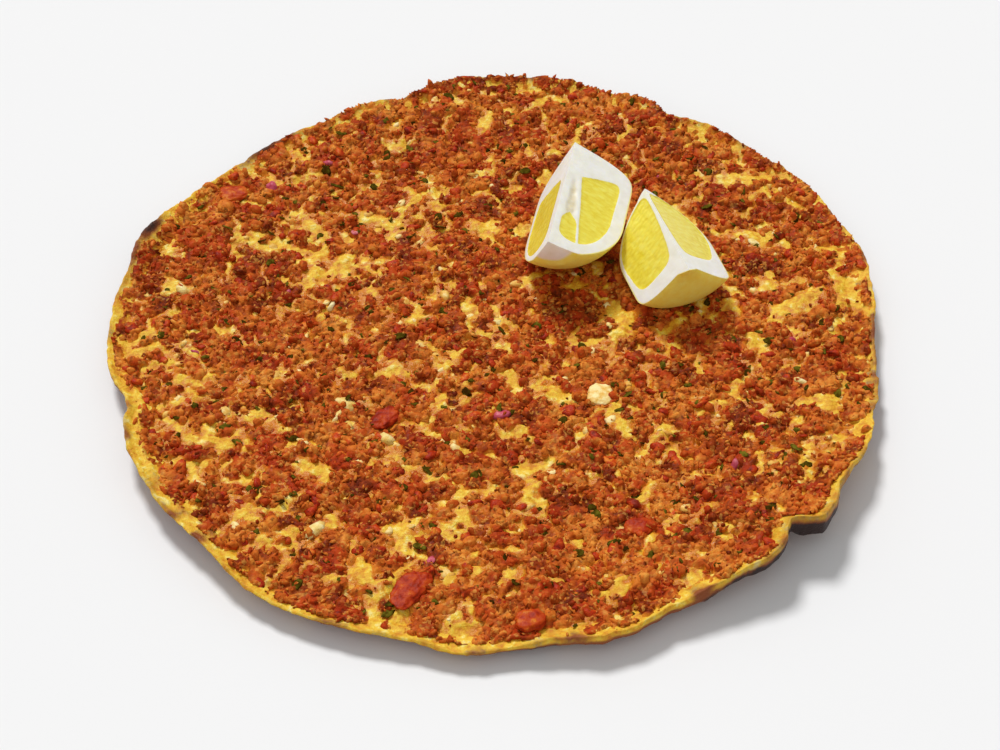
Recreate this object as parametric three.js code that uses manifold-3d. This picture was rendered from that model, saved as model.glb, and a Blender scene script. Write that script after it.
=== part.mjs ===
// A lahmacun: a thin, crisp round of flatbread spread almost to its edge with
// spiced minced meat, with the larger pieces of tomato and onion that show in
// the meat, and two lemon quarters lying on top. Units are millimetres and +Z
// is up. The origin is under the middle of the bread, on the surface it lies on.
import * as THREE from "three";
import { mergeVertices } from "three/addons/utils/BufferGeometryUtils.js";
import Module from "manifold-3d";

// ---- Driving sizes -------------------------------------------------------
const MEAN_RADIUS = 156.5; // the bread's radius, before its edge is shaped
const OVAL = 5; // how much longer than that it is front to back, and shorter across
const BREAD_THICKNESS = 2.6;
const EDGE_THICKNESS = 3.4; // the baked edge puffs up a little
const PUFF_STARTS = 0.9; // share of the radius where it starts to thicken
const PUFF_ENDS = 0.97;
const MEAT_THICKNESS = 3.4;
const MEAT_RELIEF = 0.9; // how far its mounds and hollows stand above and below that
const MEAT_EDGE_THICKNESS = 0.9;
const LEAST_RIM = 1.9; // bare bread outside the meat, wherever the rim is narrowest
const GAP = 0.3; // air left between two pieces that touch
const FLAT_SHARE = 0.66; // inside this share of the radius the bread lies flat
const LIP_STARTS = 0.93; // outside this share its edge turns up more steeply
const SEGMENTS = 108; // round the bread

const NIPPLE_RADIUS = 13; // where the lemon's nipple spreads into its shoulder
const NIPPLE_LENGTH = 5; // how far it stands beyond the shoulder
const NIPPLE_ROOT = 4; // and how far back its spreading foot reaches
const SHOULDER_BLUNTNESS = 8; // higher is squarer, beside the nipple
const STEM_TAPER = 0.6; // higher is more pointed, at the stem end
const LEMON_SEGMENTS = 36; // round a whole lemon
const LEMON_STEPS = 16; // along its length

// ---- The edge, as hand-baked dough: bulges, bites, lifts and bare rim -----
// Each entry is centred at an angle in degrees, from +X towards +Y, fades out
// over its spread, and adds an amount in millimetres.
const EDGE_BASE = { out: 0, lift: 6.5, rim: 2.6 };
const EDGE_FEATURES = {
  out: [
    { at: 14, spread: 7, add: 3.5 },
    { at: 28, spread: 12, add: 5 }, // back right shoulder
    { at: 60, spread: 2.6, add: -5 }, // small bites at the back right
    { at: 70, spread: 3, add: -3.5 },
    { at: 106, spread: 5, add: -5 }, // torn step at the back left
    { at: 118, spread: 15, add: -9 }, // flattened beyond it
    { at: 141, spread: 10, add: -6 },
    { at: 164, spread: 4, add: 2.5 }, // scorched corner
    { at: 183, spread: 8, add: 3 },
    { at: 199, spread: 3.4, add: -5 }, // tucked-in left edge
    { at: 216, spread: 9, add: 2.5 },
    { at: 243, spread: 13, add: 4 }, // front left belly
    { at: 265, spread: 5, add: 3 },
    { at: 285, spread: 7, add: 4 },
    { at: 308, spread: 4, add: 5 },
    { at: 313, spread: 1.8, add: -5 }, // folded corner at the front right
    { at: 318, spread: 4, add: 7 },
    { at: 328, spread: 14, add: 3 },
  ],
  lift: [
    { at: 92, spread: 16, add: 2 }, // curled back edge
    { at: 160, spread: 8, add: 5 }, // scorched corner on the left
    { at: 200, spread: 14, add: 3 },
    { at: 264, spread: 16, add: -4 }, // the front lies low
    { at: 317, spread: 20, add: 9 }, // front right edge, baked stiff and raised
  ],
  rim: [
    { at: 60, spread: 50, add: -1.2 },
    { at: 160, spread: 7, add: 3 },
    { at: 208, spread: 15, add: 4.5 }, // the widest bare rim
    { at: 262, spread: 18, add: 1.5 },
  ],
};

// ---- Things on the bread --------------------------------------------------
// A lemon quarter: where the middle of its ridge is, the way its nipple points,
// how far it has rolled over on its rind, and the lemon that it was cut from.
const LEMON_QUARTERS = [
  {
    name: "lemon_quarter_left",
    x: 27,
    y: 45,
    heading: 79,
    roll: -18,
    radius: 29.5,
    length: 62,
    trimmed: 5,
  },
  {
    name: "lemon_quarter_right",
    x: 68.5,
    y: 30,
    heading: 287,
    roll: 7,
    radius: 27.5,
    length: 46,
    trimmed: 1,
  },
];
// The pieces as large as berries, each half sunk in the meat.
const CHUNKS = [
  { name: "tomato_piece_front", x: -30, y: -136, across: 11, along: 18, turn: 60, kind: "tomato" },
  { name: "tomato_piece_edge", x: 13, y: -151, across: 9, along: 11, turn: 20, kind: "tomato" },
  { name: "tomato_piece_middle", x: -42, y: -50, across: 9, along: 12, turn: 55, kind: "tomato" },
  { name: "tomato_piece_right", x: 52, y: -106, across: 9, along: 11, turn: 5, kind: "tomato" },
  { name: "tomato_piece_back", x: -111, y: 79, across: 9, along: 12, turn: 15, kind: "tomato" },
  { name: "onion_slice", x: 41, y: -38, across: 10, along: 11.5, turn: 80, kind: "onion" },
];
const CHUNK_THICKNESS = 4.2;
const CHUNK_SUNK = 0.55; // share of its thickness below the meat's surface
const CHUNK_SEGMENTS = 14;

const materials = {
  bread: new THREE.MeshStandardMaterial({ color: 0xd9a441, roughness: 0.75, metalness: 0 }),
  meat: new THREE.MeshStandardMaterial({ color: 0xa8481a, roughness: 0.5, metalness: 0 }),
  tomato: new THREE.MeshStandardMaterial({ color: 0xc23a1a, roughness: 0.3, metalness: 0 }),
  onion: new THREE.MeshStandardMaterial({ color: 0xe9c982, roughness: 0.35, metalness: 0 }),
  lemon: new THREE.MeshStandardMaterial({ color: 0xe6d33c, roughness: 0.4, metalness: 0 }),
};

const wasm = await Module();
wasm.setup();

const radians = THREE.MathUtils.degToRad;
const smooth = THREE.MathUtils.smoothstep;

// ---- How the bread is shaped ----------------------------------------------
// The shortest turn from one angle to another, in degrees.
function turnBetween(a, b) {
  return ((a - b + 540) % 360) - 180;
}

function angleOf(x, y) {
  return THREE.MathUtils.radToDeg(Math.atan2(y, x));
}

// One of the edge's three measures at an angle.
function edgeMeasure(which, degrees) {
  return EDGE_FEATURES[which].reduce(
    (sum, f) => sum + f.add * Math.exp(-((turnBetween(degrees, f.at) / f.spread) ** 2)),
    EDGE_BASE[which],
  );
}

function edgeRadius(degrees) {
  const oval = -OVAL * Math.cos(radians(2 * degrees));
  const ripple = 0.7 * Math.sin(radians(11 * degrees)) + 0.5 * Math.sin(radians(23 * degrees + 40));
  return MEAN_RADIUS + oval + ripple + edgeMeasure("out", degrees);
}

// How high the bread's mid-plane rises at a share of the radius. It lies flat in
// the middle, then rises gently and turns up more steeply just at the edge.
function riseOf(share, degrees) {
  const lift = edgeMeasure("lift", degrees);
  const slope = smooth(share, FLAT_SHARE, 1.04);
  const lip = smooth(share, LIP_STARTS, 1.02);
  const wave = 0.8 * Math.sin(radians(7 * degrees + 20)) + 0.6 * Math.sin(radians(13 * degrees));
  return (0.72 * lift + wave) * slope + 0.42 * lift * lip;
}

// Uneven ground in broad, low mounds, between -1 and 1.
function mounds(x, y) {
  const a = Math.sin(x / 9.5 + 1.3 * Math.sin(y / 17));
  const b = Math.sin(y / 8.6 + 1.4 * Math.sin(x / 15 + 1));
  return 0.6 * a * b + 0.4 * Math.sin((x + y) / 14 + 2) * Math.sin((x - y) / 12.5);
}

function lathed(profile, segments) {
  const geometry = new THREE.LatheGeometry(profile, segments);
  geometry.rotateX(Math.PI / 2);
  return geometry;
}

// Moves every vertex of a geometry to where move(x, y, z) says.
function reshape(geometry, move) {
  const place = geometry.getAttribute("position");
  const point = new THREE.Vector3();
  for (let i = 0; i < place.count; i++) {
    point.fromBufferAttribute(place, i);
    move(point);
    place.setXYZ(i, point.x, point.y, point.z);
  }
  return geometry;
}

// A flat disc of radius 1 becomes the bread's outline and rises with its edge.
function layOnBread(geometry, outerShareOf, extraHeightOf) {
  return reshape(geometry, (p) => {
    const flatShare = Math.hypot(p.x, p.y);
    const degrees = angleOf(p.x, p.y);
    const share = flatShare * outerShareOf(degrees);
    const radius = share * edgeRadius(degrees);
    const scale = flatShare > 0 ? radius / flatShare : 0;
    p.x *= scale;
    p.y *= scale;
    p.z += riseOf(share, degrees) + extraHeightOf(p, flatShare);
  });
}

const BREAD_RINGS = [0.3, 0.52, FLAT_SHARE, 0.76, 0.84, 0.9, 0.94, 0.975];

function breadGeometry() {
  const lip = new THREE.Vector2(1, EDGE_THICKNESS / 2);
  const topOf = (share) => {
    return THREE.MathUtils.lerp(BREAD_THICKNESS, EDGE_THICKNESS, smooth(share, PUFF_STARTS, PUFF_ENDS));
  };
  const profile = [
    new THREE.Vector2(0, 0),
    ...BREAD_RINGS.map((share) => new THREE.Vector2(share, 0)),
    lip,
    ...BREAD_RINGS.toReversed().map((share) => new THREE.Vector2(share, topOf(share))),
    new THREE.Vector2(0, BREAD_THICKNESS),
  ];
  return layOnBread(lathed(profile, SEGMENTS), () => 1, () => 0);
}

// Where the meat ends, as a share of the radius.
function meatShare(degrees) {
  const wander = 0.9 * Math.sin(radians(17 * degrees)) + 0.8 * Math.sin(radians(29 * degrees + 70));
  return 1 - (LEAST_RIM + edgeMeasure("rim", degrees) + Math.abs(wander)) / MEAN_RADIUS;
}

const MEAT_RINGS = [0.12, 0.24, 0.36, 0.48, 0.6, 0.72, 0.82, 0.9, 0.96];
const MEAT_UNDER_RINGS = [0.36, 0.68, 0.78, 0.86, 0.92, 0.965];

// Under a lemon quarter the meat is pressed flat, so that the rind has a seat.
function pressed(x, y) {
  const away = Math.min(...LEMON_QUARTERS.map((q) => Math.hypot(x - q.x, y - q.y)));
  return smooth(away, 9, 22);
}

function meatGeometry() {
  const bottom = EDGE_THICKNESS + GAP;
  const top = (share) => THREE.MathUtils.lerp(MEAT_THICKNESS, MEAT_EDGE_THICKNESS, smooth(share, 0.9, 1));
  const profile = [
    new THREE.Vector2(0, bottom),
    ...MEAT_UNDER_RINGS.map((share) => new THREE.Vector2(share, bottom)),
    new THREE.Vector2(1, bottom + 0.1),
    ...MEAT_RINGS.toReversed().map((share) => new THREE.Vector2(share, bottom + top(share))),
    new THREE.Vector2(0, bottom + MEAT_THICKNESS),
  ];
  const middle = bottom + 0.5 * MEAT_EDGE_THICKNESS;
  const relief = (p, share) => {
    if (p.z < middle) return 0;
    const faded = smooth(share, 0.1, 0.4) * (1 - smooth(share, 0.9, 1));
    return MEAT_RELIEF * mounds(p.x, p.y) * pressed(p.x, p.y) * faded;
  };
  return layOnBread(lathed(profile, SEGMENTS), meatShare, relief);
}

// ---- Cutting -----------------------------------------------------------------
function solidOf(geometry) {
  const bare = geometry.index ? geometry.toNonIndexed() : geometry.clone();
  bare.deleteAttribute("normal");
  bare.deleteAttribute("uv");
  const merged = mergeVertices(bare, 1e-3);
  return new wasm.Manifold(
    new wasm.Mesh({
      numProp: 3,
      vertProperties: merged.getAttribute("position").array,
      triVerts: new Uint32Array(merged.index.array),
    }),
  );
}

function geometryOf(solid) {
  const mesh = solid.getMesh();
  const geometry = new THREE.BufferGeometry();
  geometry.setAttribute("position", new THREE.BufferAttribute(mesh.vertProperties, 3));
  geometry.setIndex(new THREE.BufferAttribute(mesh.triVerts, 1));
  geometry.computeVertexNormals();
  return geometry;
}

// ---- Lemon quarters -----------------------------------------------------------
// A whole lemon along Y: a pointed oval at the stem end, a blunt shoulder at the
// other, and a nipple that flares into it.
function lemonRadius(y, radius, length) {
  const along = y / (length / 2);
  if (along < 0) return radius * Math.max(0, 1 - along * along) ** STEM_TAPER;
  const body = radius * Math.sqrt(Math.max(0, 1 - along ** SHOULDER_BLUNTNESS));
  const fromTip = length / 2 + NIPPLE_LENGTH - y;
  const nipple = NIPPLE_RADIUS * Math.min(1, fromTip / (NIPPLE_LENGTH + NIPPLE_ROOT)) ** 1.2;
  return Math.max(body, nipple);
}

function lemonGeometry(radius, length) {
  const low = -length / 2;
  const high = length / 2 + NIPPLE_LENGTH;
  const profile = [];
  for (let i = 0; i <= LEMON_STEPS; i++) {
    const y = THREE.MathUtils.lerp(low, high, (1 - Math.cos((Math.PI * i) / LEMON_STEPS)) / 2);
    const onAxis = i === 0 || i === LEMON_STEPS;
    profile.push(new THREE.Vector2(onAxis ? 0 : lemonRadius(y, radius, length), y));
  }
  return new THREE.LatheGeometry(profile, LEMON_SEGMENTS);
}

// The quarter that hangs below the core, with its two cut faces at 45 degrees,
// and its stem end trimmed off square.
function lemonQuarterGeometry({ radius, length, trimmed }) {
  const side = 3 * length;
  const quadrant = new THREE.BoxGeometry(side, side, side);
  quadrant.translate(side / 2, trimmed + (side - length) / 2, -side / 2);
  quadrant.rotateY(radians(45));
  return geometryOf(solidOf(lemonGeometry(radius, length)).intersect(solidOf(quadrant)));
}

// The height of the meat's flattened seat under a quarter.
const SEAT_HEIGHT = EDGE_THICKNESS + GAP + MEAT_THICKNESS;

function lemonQuarter(quarter) {
  const mesh = new THREE.Mesh(lemonQuarterGeometry(quarter), materials.lemon);
  mesh.name = quarter.name;
  mesh.rotation.y = radians(quarter.roll);
  const placed = new THREE.Group();
  placed.add(mesh);
  placed.rotation.z = radians(quarter.heading - 90);
  placed.position.set(quarter.x, quarter.y, SEAT_HEIGHT + GAP + quarter.radius);
  return placed;
}

// ---- Pieces of tomato and onion -------------------------------------------------
// A rounded lump with uneven sides, grown by a margin on every side.
function chunkGeometry({ x, y, across, along, turn }, margin) {
  const lump = new THREE.SphereGeometry(1, CHUNK_SEGMENTS, CHUNK_SEGMENTS / 2);
  lump.rotateX(Math.PI / 2);
  reshape(lump, (p) => {
    const degrees = angleOf(p.x, p.y);
    const uneven = 1 + 0.08 * Math.sin(radians(3 * degrees + x)) + 0.05 * Math.sin(radians(5 * degrees + y));
    p.x *= uneven * (along / 2 + margin);
    p.y *= uneven * (across / 2 + margin);
    p.z *= CHUNK_THICKNESS / 2 + margin;
  });
  lump.rotateZ(radians(turn));
  const ground = riseOf(Math.hypot(x, y) / edgeRadius(angleOf(x, y)), angleOf(x, y));
  return lump.translate(x, y, ground + SEAT_HEIGHT + CHUNK_THICKNESS * (0.5 - CHUNK_SUNK));
}

// ---- Assembly -------------------------------------------------------------------
function named(name, geometry, material) {
  const mesh = new THREE.Mesh(geometry, material);
  mesh.name = name;
  return mesh;
}

const bread = named("flatbread", breadGeometry(), materials.bread);
const pocketed = CHUNKS.reduce(
  (meat, chunk) => meat.subtract(solidOf(chunkGeometry(chunk, GAP))),
  solidOf(meatGeometry()),
);

const lahmacun = new THREE.Group();
lahmacun.add(bread);
lahmacun.add(named("minced_meat", geometryOf(pocketed), materials.meat));
CHUNKS.forEach((chunk) => lahmacun.add(named(chunk.name, chunkGeometry(chunk, 0), materials[chunk.kind])));
LEMON_QUARTERS.forEach((quarter) => lahmacun.add(lemonQuarter(quarter)));

// The origin goes under the middle of the bread's bounding box.
bread.geometry.computeBoundingBox();
const middle = bread.geometry.boundingBox.getCenter(new THREE.Vector3());
lahmacun.position.set(-middle.x, -middle.y, 0);

export default lahmacun;
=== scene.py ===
# %% [markdown]
# # A lahmacun with two lemon quarters
#
# A lahmacun is a large, very thin round of dough, spread to its edge with minced
# meat, tomato, onion and parsley, and baked hot until the edge browns. The CAD part
# has its true sizes: a dished round of bread, a layer of meat, a few large pieces of
# tomato and onion, and two lemon quarters. This script dresses that part with
# everything too small for CAD: crumbs, herbs, blistered dough, pith and juice.
#
# The cells run from top to bottom. All sizes are in millimetres until a mesh is
# written, where they become Blender's metres.

import math

import bmesh
import bpy
import numpy as np
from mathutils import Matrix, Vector
from mathutils.bvhtree import BVHTree


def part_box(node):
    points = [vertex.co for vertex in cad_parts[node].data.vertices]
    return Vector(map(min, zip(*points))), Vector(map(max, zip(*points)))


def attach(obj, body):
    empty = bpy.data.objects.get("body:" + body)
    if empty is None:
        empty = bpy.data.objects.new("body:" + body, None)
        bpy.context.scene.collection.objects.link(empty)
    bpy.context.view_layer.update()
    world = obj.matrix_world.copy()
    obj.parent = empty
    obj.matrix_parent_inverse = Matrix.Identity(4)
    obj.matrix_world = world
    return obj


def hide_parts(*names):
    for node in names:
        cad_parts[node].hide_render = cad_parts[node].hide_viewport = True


MM = 0.001
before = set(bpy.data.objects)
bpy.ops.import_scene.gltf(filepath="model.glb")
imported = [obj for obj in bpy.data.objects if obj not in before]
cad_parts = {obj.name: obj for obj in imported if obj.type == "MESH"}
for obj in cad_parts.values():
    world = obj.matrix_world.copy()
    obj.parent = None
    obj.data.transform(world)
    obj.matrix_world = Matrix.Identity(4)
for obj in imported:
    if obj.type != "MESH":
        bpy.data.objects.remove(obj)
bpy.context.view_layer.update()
print("nodes:", sorted(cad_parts))

# %% [markdown]
# ## Reading the part
#
# The detailed pieces have to lie exactly where the CAD ones are. Their heights could
# be copied out as formulas, but then they would drift apart with the first change.
# Instead, rays shot at a CAD node from above or below give a map of its upper or
# lower face, every two millimetres.

# %% Rays at a node
MAP_STEP = 2.0  # from one ray to the next
MAP_HALF = 172.0  # half of a map's side
MAP_LINES = np.arange(-MAP_HALF, MAP_HALF + MAP_STEP / 2, MAP_STEP)
FROM_ABOVE, FROM_BELOW = (80, -1), (-20, 1)  # a ray's starting height, and which way it goes


def tree_of(node):
    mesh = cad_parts[node].data
    return BVHTree.FromPolygons(
        [v.co / MM for v in mesh.vertices], [list(p.vertices) for p in mesh.polygons]
    )


def ray_heights(tree, start, way):
    grid = np.full((MAP_LINES.size, MAP_LINES.size), np.nan)
    for i, x in enumerate(MAP_LINES):
        for j, y in enumerate(MAP_LINES):
            hit = tree.ray_cast((x, y, start), (0, 0, way))[0]
            if hit is not None:
                grid[i, j] = hit.z
    return grid


print("rays for each map:", MAP_LINES.size**2)

# %% [markdown]
# Beside the node no ray hits, and the map has gaps. They are filled from their
# neighbours, one ring after another, so that a map can be asked anywhere.

# %% Filling a map's gaps
def filled_in(grid):
    while np.isnan(grid).any():
        known = np.pad(~np.isnan(grid), 1)
        value = np.pad(np.nan_to_num(grid), 1)
        n = grid.shape[0]
        shifts = [(a, b) for a in (0, 1, 2) for b in (0, 1, 2)]
        count = sum(known[a : a + n, b : b + n] for a, b in shifts)
        total = sum(value[a : a + n, b : b + n] for a, b in shifts)
        fill = np.isnan(grid) & (count > 0)
        grid[fill] = total[fill] / count[fill]
    return grid


bread_tree, meat_tree = tree_of("flatbread"), tree_of("minced_meat")
BREAD_TOP = filled_in(ray_heights(bread_tree, *FROM_ABOVE))
BREAD_UNDER = filled_in(ray_heights(bread_tree, *FROM_BELOW))
MEAT_TOP = filled_in(ray_heights(meat_tree, *FROM_ABOVE))
print("bread's top from %.1f to %.1f mm" % (BREAD_TOP.min(), BREAD_TOP.max()))

# %% [markdown]
# Between the rays a height is blended from the four nearest ones, so that the
# surface has no steps.

# %% Reading a map
def sample(grid, x, y):
    last = grid.shape[0] - 2
    u = np.clip((x + MAP_HALF) / MAP_STEP, 0, last + 0.999)
    v = np.clip((y + MAP_HALF) / MAP_STEP, 0, last + 0.999)
    i, j = u.astype(int), v.astype(int)
    fu, fv = u - i, v - j
    low = grid[i, j] * (1 - fu) + grid[i + 1, j] * fu
    high = grid[i, j + 1] * (1 - fu) + grid[i + 1, j + 1] * fu
    return low * (1 - fv) + high * fv


print("meat top in the middle: %.1f mm" % sample(MEAT_TOP, np.array([5.0]), np.array([5.0]))[0])

# %% [markdown]
# A node's outline is its outer radius in each direction. The CAD rims have a corner
# every three and a third degrees, so the outermost vertex in each slice of that
# width is enough, with straight lines between.

# %% Outlines
RIM_CORNERS = 108


def points_of(mesh):
    flat = np.empty(len(mesh.vertices) * 3, np.float32)
    mesh.vertices.foreach_get("co", flat)
    return flat.reshape(-1, 3).astype(float)


def outline(node):
    points = points_of(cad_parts[node].data) / MM
    degrees = np.degrees(np.arctan2(points[:, 1], points[:, 0])) % 360
    radius = np.hypot(points[:, 0], points[:, 1])
    slices = np.round(degrees / 360 * RIM_CORNERS).astype(int) % RIM_CORNERS
    in_slices = (np.flatnonzero(slices == k) for k in range(RIM_CORNERS))
    outermost = [found[radius[found].argmax()] for found in in_slices]
    return degrees[outermost], radius[outermost]


def edge_at(edge, x, y):
    return np.interp(np.degrees(np.arctan2(y, x)) % 360, *edge, period=360)


BREAD_EDGE, MEAT_EDGE = outline("flatbread"), outline("minced_meat")
print("bread radius %.1f to %.1f mm" % (BREAD_EDGE[1].min(), BREAD_EDGE[1].max()))

# %% [markdown]
# ## Noise to shape food with
#
# Food is never regular, and noise is a cheap way to unevenness. Smooth noise comes
# from a table of random numbers, one at each corner of a grid, blended in between.
# Its grid size sets how broad its lumps are, and its seed picks the table.

# %% Smooth noise
TABLE = 128  # numbers along each side of a table, after which it repeats


def smooth(value, low, high):
    t = np.clip((value - low) / (high - low), 0, 1)
    return t * t * (3 - 2 * t)


def lattice(x, y, size, seed):
    table = np.random.default_rng(seed).uniform(-1, 1, (TABLE, TABLE))
    u, v = x / size, y / size
    i, j = np.floor(u).astype(int), np.floor(v).astype(int)
    fu, fv = u - i, v - j
    fu, fv = fu * fu * (3 - 2 * fu), fv * fv * (3 - 2 * fv)
    i0, i1, j0, j1 = i % TABLE, (i + 1) % TABLE, j % TABLE, (j + 1) % TABLE
    low = table[i0, j0] * (1 - fu) + table[i1, j0] * fu
    high = table[i0, j1] * (1 - fu) + table[i1, j1] * fu
    return low * (1 - fv) + high * fv


print("noise is about %d times a lump's size before it repeats" % TABLE)

# %% [markdown]
# Real surfaces are rough at several sizes at once. Noise of one size, half that
# size, a quarter and so on are added up, each with half the weight of the one
# before, and each turned so that their grids don't line up.

# %% Noise in several sizes
def fractal(x, y, size, seed, octaves=3):
    total, weight, scale = 0, 1.0, 0.0
    for k in range(octaves):
        turn = 0.6 + 1.1 * k
        u = x * math.cos(turn) - y * math.sin(turn)
        v = x * math.sin(turn) + y * math.cos(turn)
        total = total + weight * lattice(u, v, size / 2**k, seed + k)
        scale += weight
        weight /= 2
    return total / scale


tried = np.linspace(0, 400, 2000)
print("fractal noise spreads by %.2f" % fractal(tried, tried, 9, 1).std())

# %% [markdown]
# Crumbled meat looks like packed pebbles from above. One point is put at random in
# each cell of a grid, and each place belongs to the nearest point. The difference
# between the nearest and the second nearest is 0 at a pebble's border and grows
# inwards.

# %% Packed pebbles
def pebbles(x, y, size, seed):
    """How far inside a pebble each place is (0 at its border), and the pebble's number."""
    rng = np.random.default_rng(seed)
    jitter = rng.uniform(0.08, 0.92, (TABLE, TABLE, 2))
    number = rng.random((TABLE, TABLE))
    u, v = x / size, y / size
    i, j = np.floor(u).astype(int), np.floor(v).astype(int)
    first, second, which = np.full(x.shape, 9.0), np.full(x.shape, 9.0), np.zeros(x.shape)
    for di in (-1, 0, 1):
        for dj in (-1, 0, 1):
            a, b = (i + di) % TABLE, (j + dj) % TABLE
            far = np.hypot(i + di + jitter[a, b, 0] - u, j + dj + jitter[a, b, 1] - v)
            near = far < first
            second = np.where(near, first, np.minimum(second, far))
            which = np.where(near, number[a, b], which)
            first = np.minimum(first, far)
    return second - first, which


print("a pebble's inside reaches %.2f of its size" % pebbles(tried, tried * 0.7, 1, 1)[0].max())

# %% [markdown]
# ## Where the dough shows
#
# The meat is spread so thinly that golden dough shows through it in a ragged
# network, with larger bare places here and there. The larger ones are listed: where
# each is, its half length and half width, and its turn.

# %% Bare places
BARE_PLACES = [
    (-128, 23, 7, 4, -30), (-106, 55, 8, 5, 80), (-92, 49, 10, 3, -25), (-72, 68, 8, 3, 85),
    (-67, 87, 7, 3.5, 70), (-62, 44, 10, 3.5, 75), (-36, 82, 12, 10, 60), (-51, 70, 9, 4, -15),
    (-9, 67, 6, 3, -60), (-19, 50, 7, 4, 20), (-30, 8, 8, 3.5, 10), (-67, 12, 6, 3.5, 80),
    (-42, 112, 9, 3, 85), (-5, 130, 8, 5, 30), (28, 116, 8, 6, 45), (43, 128, 6, 4, 70),
    (106, 57, 11, 6, -15), (140, 45, 6, 3.5, -30), (127, 18, 16, 5, 20), (114, 10, 7, 5, 60),
    (-98, -43, 10, 4.5, -20), (-103, -63, 12, 3, -10), (-69, -72, 9.5, 7, -15),
    (-57, -22, 7, 6, 60), (-32, -19, 11, 4, 0), (-56, -40, 8, 4, -10), (-37, -65, 7, 4, 80),
    (-14, -40, 8, 4, 30), (-76, -87, 11, 4, 20), (-66, -108, 6, 4.5, -50), (-38, -105, 9, 4, -20),
    (-14, -97, 8, 5, 30), (-45, -127, 9, 5, -50), (-86, -132, 6, 4, -20), (-14, -147, 8, 6, 40),
    (-33, -148, 5, 5, 0), (51, 3, 10, 5, 85), (21, -33, 9, 5, -60), (45, -40, 11, 4.5, -80),
    (66, -50, 7, 4.5, 60), (90, -41, 13, 4, -10), (128, -42, 9, 3, -75), (71, -98, 10, 4, 15),
    (13, -89, 8, 5, 60), (60, -82, 6, 3.5, 80), (24, -151, 8, 3, 5), (136, -62, 8, 3, 60),
]


def listed_bareness(x, y):
    out = np.zeros(x.shape)
    for px, py, half_length, half_width, degrees in BARE_PLACES:
        turn = math.radians(degrees)
        u = ((x - px) * math.cos(turn) + (y - py) * math.sin(turn)) / half_length
        v = (-(x - px) * math.sin(turn) + (y - py) * math.cos(turn)) / half_width
        out = np.maximum(out, np.exp(-(u * u + v * v)))
    return out


print("bare places listed:", len(BARE_PLACES))

# %% [markdown]
# Much about a round thing is best said by its angle: a scorched spot, a fold, a
# wider bare rim. Each such feature is given as its angle in degrees, how many
# degrees it spreads to both sides, and how much it adds in its middle.

# %% Features round the rim
def at_angles(features, x, y):
    """The sum of features that each sit at an angle and fade out to both sides."""
    degrees = np.degrees(np.arctan2(y, x))
    total = np.zeros(degrees.shape)
    for at, spread, amount in features:
        away = (degrees - at + 180) % 360 - 180
        total = total + amount * np.exp(-((away / spread) ** 2))
    return total


# How much wider than usual the bare rim is: widest on the left, none at the back.
BARE_RIM = [(212, 22, 3.4), (262, 16, 1.6), (318, 6, 2.0), (90, 60, -1.9), (20, 30, -0.6),
            (158, 5, 3.0), (131, 9, 1.6)]
print("features of the bare rim:", len(BARE_RIM))

# %% [markdown]
# The baked lip is ragged. Noise read along the angle would show a seam where the
# circle closes, so it is read on a circle in flat noise, which has none.

# %% The ragged lip
RIM_CIRCLE = 150  # the radius of that circle


def lip_radius(x, y):
    """How far out the bread's ragged lip is, in the direction of each place."""
    turn = np.arctan2(y, x)
    u, v = RIM_CIRCLE * np.cos(turn), RIM_CIRCLE * np.sin(turn)
    bites, nibbles = fractal(u, v, 8, 301), fractal(u, v, 2.8, 311, 2)
    return edge_at(BREAD_EDGE, x, y) - 0.3 + 0.9 * bites + 0.45 * nibbles


round_trip = np.linspace(0, 2 * math.pi, 720)
lip = lip_radius(np.cos(round_trip), np.sin(round_trip))
print("lip radius %.1f to %.1f mm" % (lip.min(), lip.max()))

# %% [markdown]
# Near the edge a map's blended heights mix the bread with what lies beside it. So
# the last few millimetres aren't read: the slope just inside is carried on in a
# straight line to the lip.

# %% Carrying a map on to the lip
SURE, INNER = 0.972, 0.93  # shares of the lip's radius, between which the slope is taken
GENTLEST, STEEPEST = -0.2, 0.5


def carried_on(grid, x, y):
    """A map's height, carried on straight from where the map is sure out to the lip."""
    turn = np.arctan2(y, x)
    ux, uy = np.cos(turn), np.sin(turn)
    edge, radius = lip_radius(x, y), np.hypot(x, y)
    sure, inner = SURE * edge, INNER * edge
    near = np.minimum(radius, sure)
    rise = sample(grid, sure * ux, sure * uy) - sample(grid, inner * ux, inner * uy)
    slope = np.clip(rise / (sure - inner), GENTLEST, STEEPEST)
    return sample(grid, near * ux, near * uy) + slope * np.maximum(radius - sure, 0)


lip_heights = carried_on(BREAD_TOP, lip * np.cos(round_trip), lip * np.sin(round_trip))
print("lip %.1f to %.1f mm high" % (lip_heights.min(), lip_heights.max()))

# %% [markdown]
# The topping ends a little inside the lip, and more so where the cook left a wider
# rim. Its border wanders like the lip's.

# %% The topping's edge
LEAST_RIM, USUAL_RIM = 0.1, 1.7


def topping_edge(x, y):
    rim = USUAL_RIM + at_angles(BARE_RIM, x, y) + 1.5 * fractal(x, y, 7, 91)
    return lip_radius(x, y) - np.maximum(rim, LEAST_RIM)


def inside_topping(x, y):
    return topping_edge(x, y) - np.hypot(x, y)


topping = topping_edge(np.cos(round_trip), np.sin(round_trip))
print("topping's radius %.1f to %.1f mm" % (topping.min(), topping.max()))

# %% [markdown]
# Smooth noise passes through zero along winding lines, and those lines make a
# network like the one that the thin meat leaves. Three networks of different
# meshes are laid over each other. Then the listed places, ragged noise and islands
# of meat are added to one number, `bareness`: above 0 the dough shows, below 0 the
# meat covers it. Every later step asks this one number, so that bed, dough and
# crumbs agree.

# %% Bareness
WEBS = [(17, 31, 0.30), (9, 35, 0.28), (5, 37, 0.20)]  # each: its mesh, its seed and its weight
FINENESS, COVERED = 5.0, -0.6  # how fine the lines are, and the least between them


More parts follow.
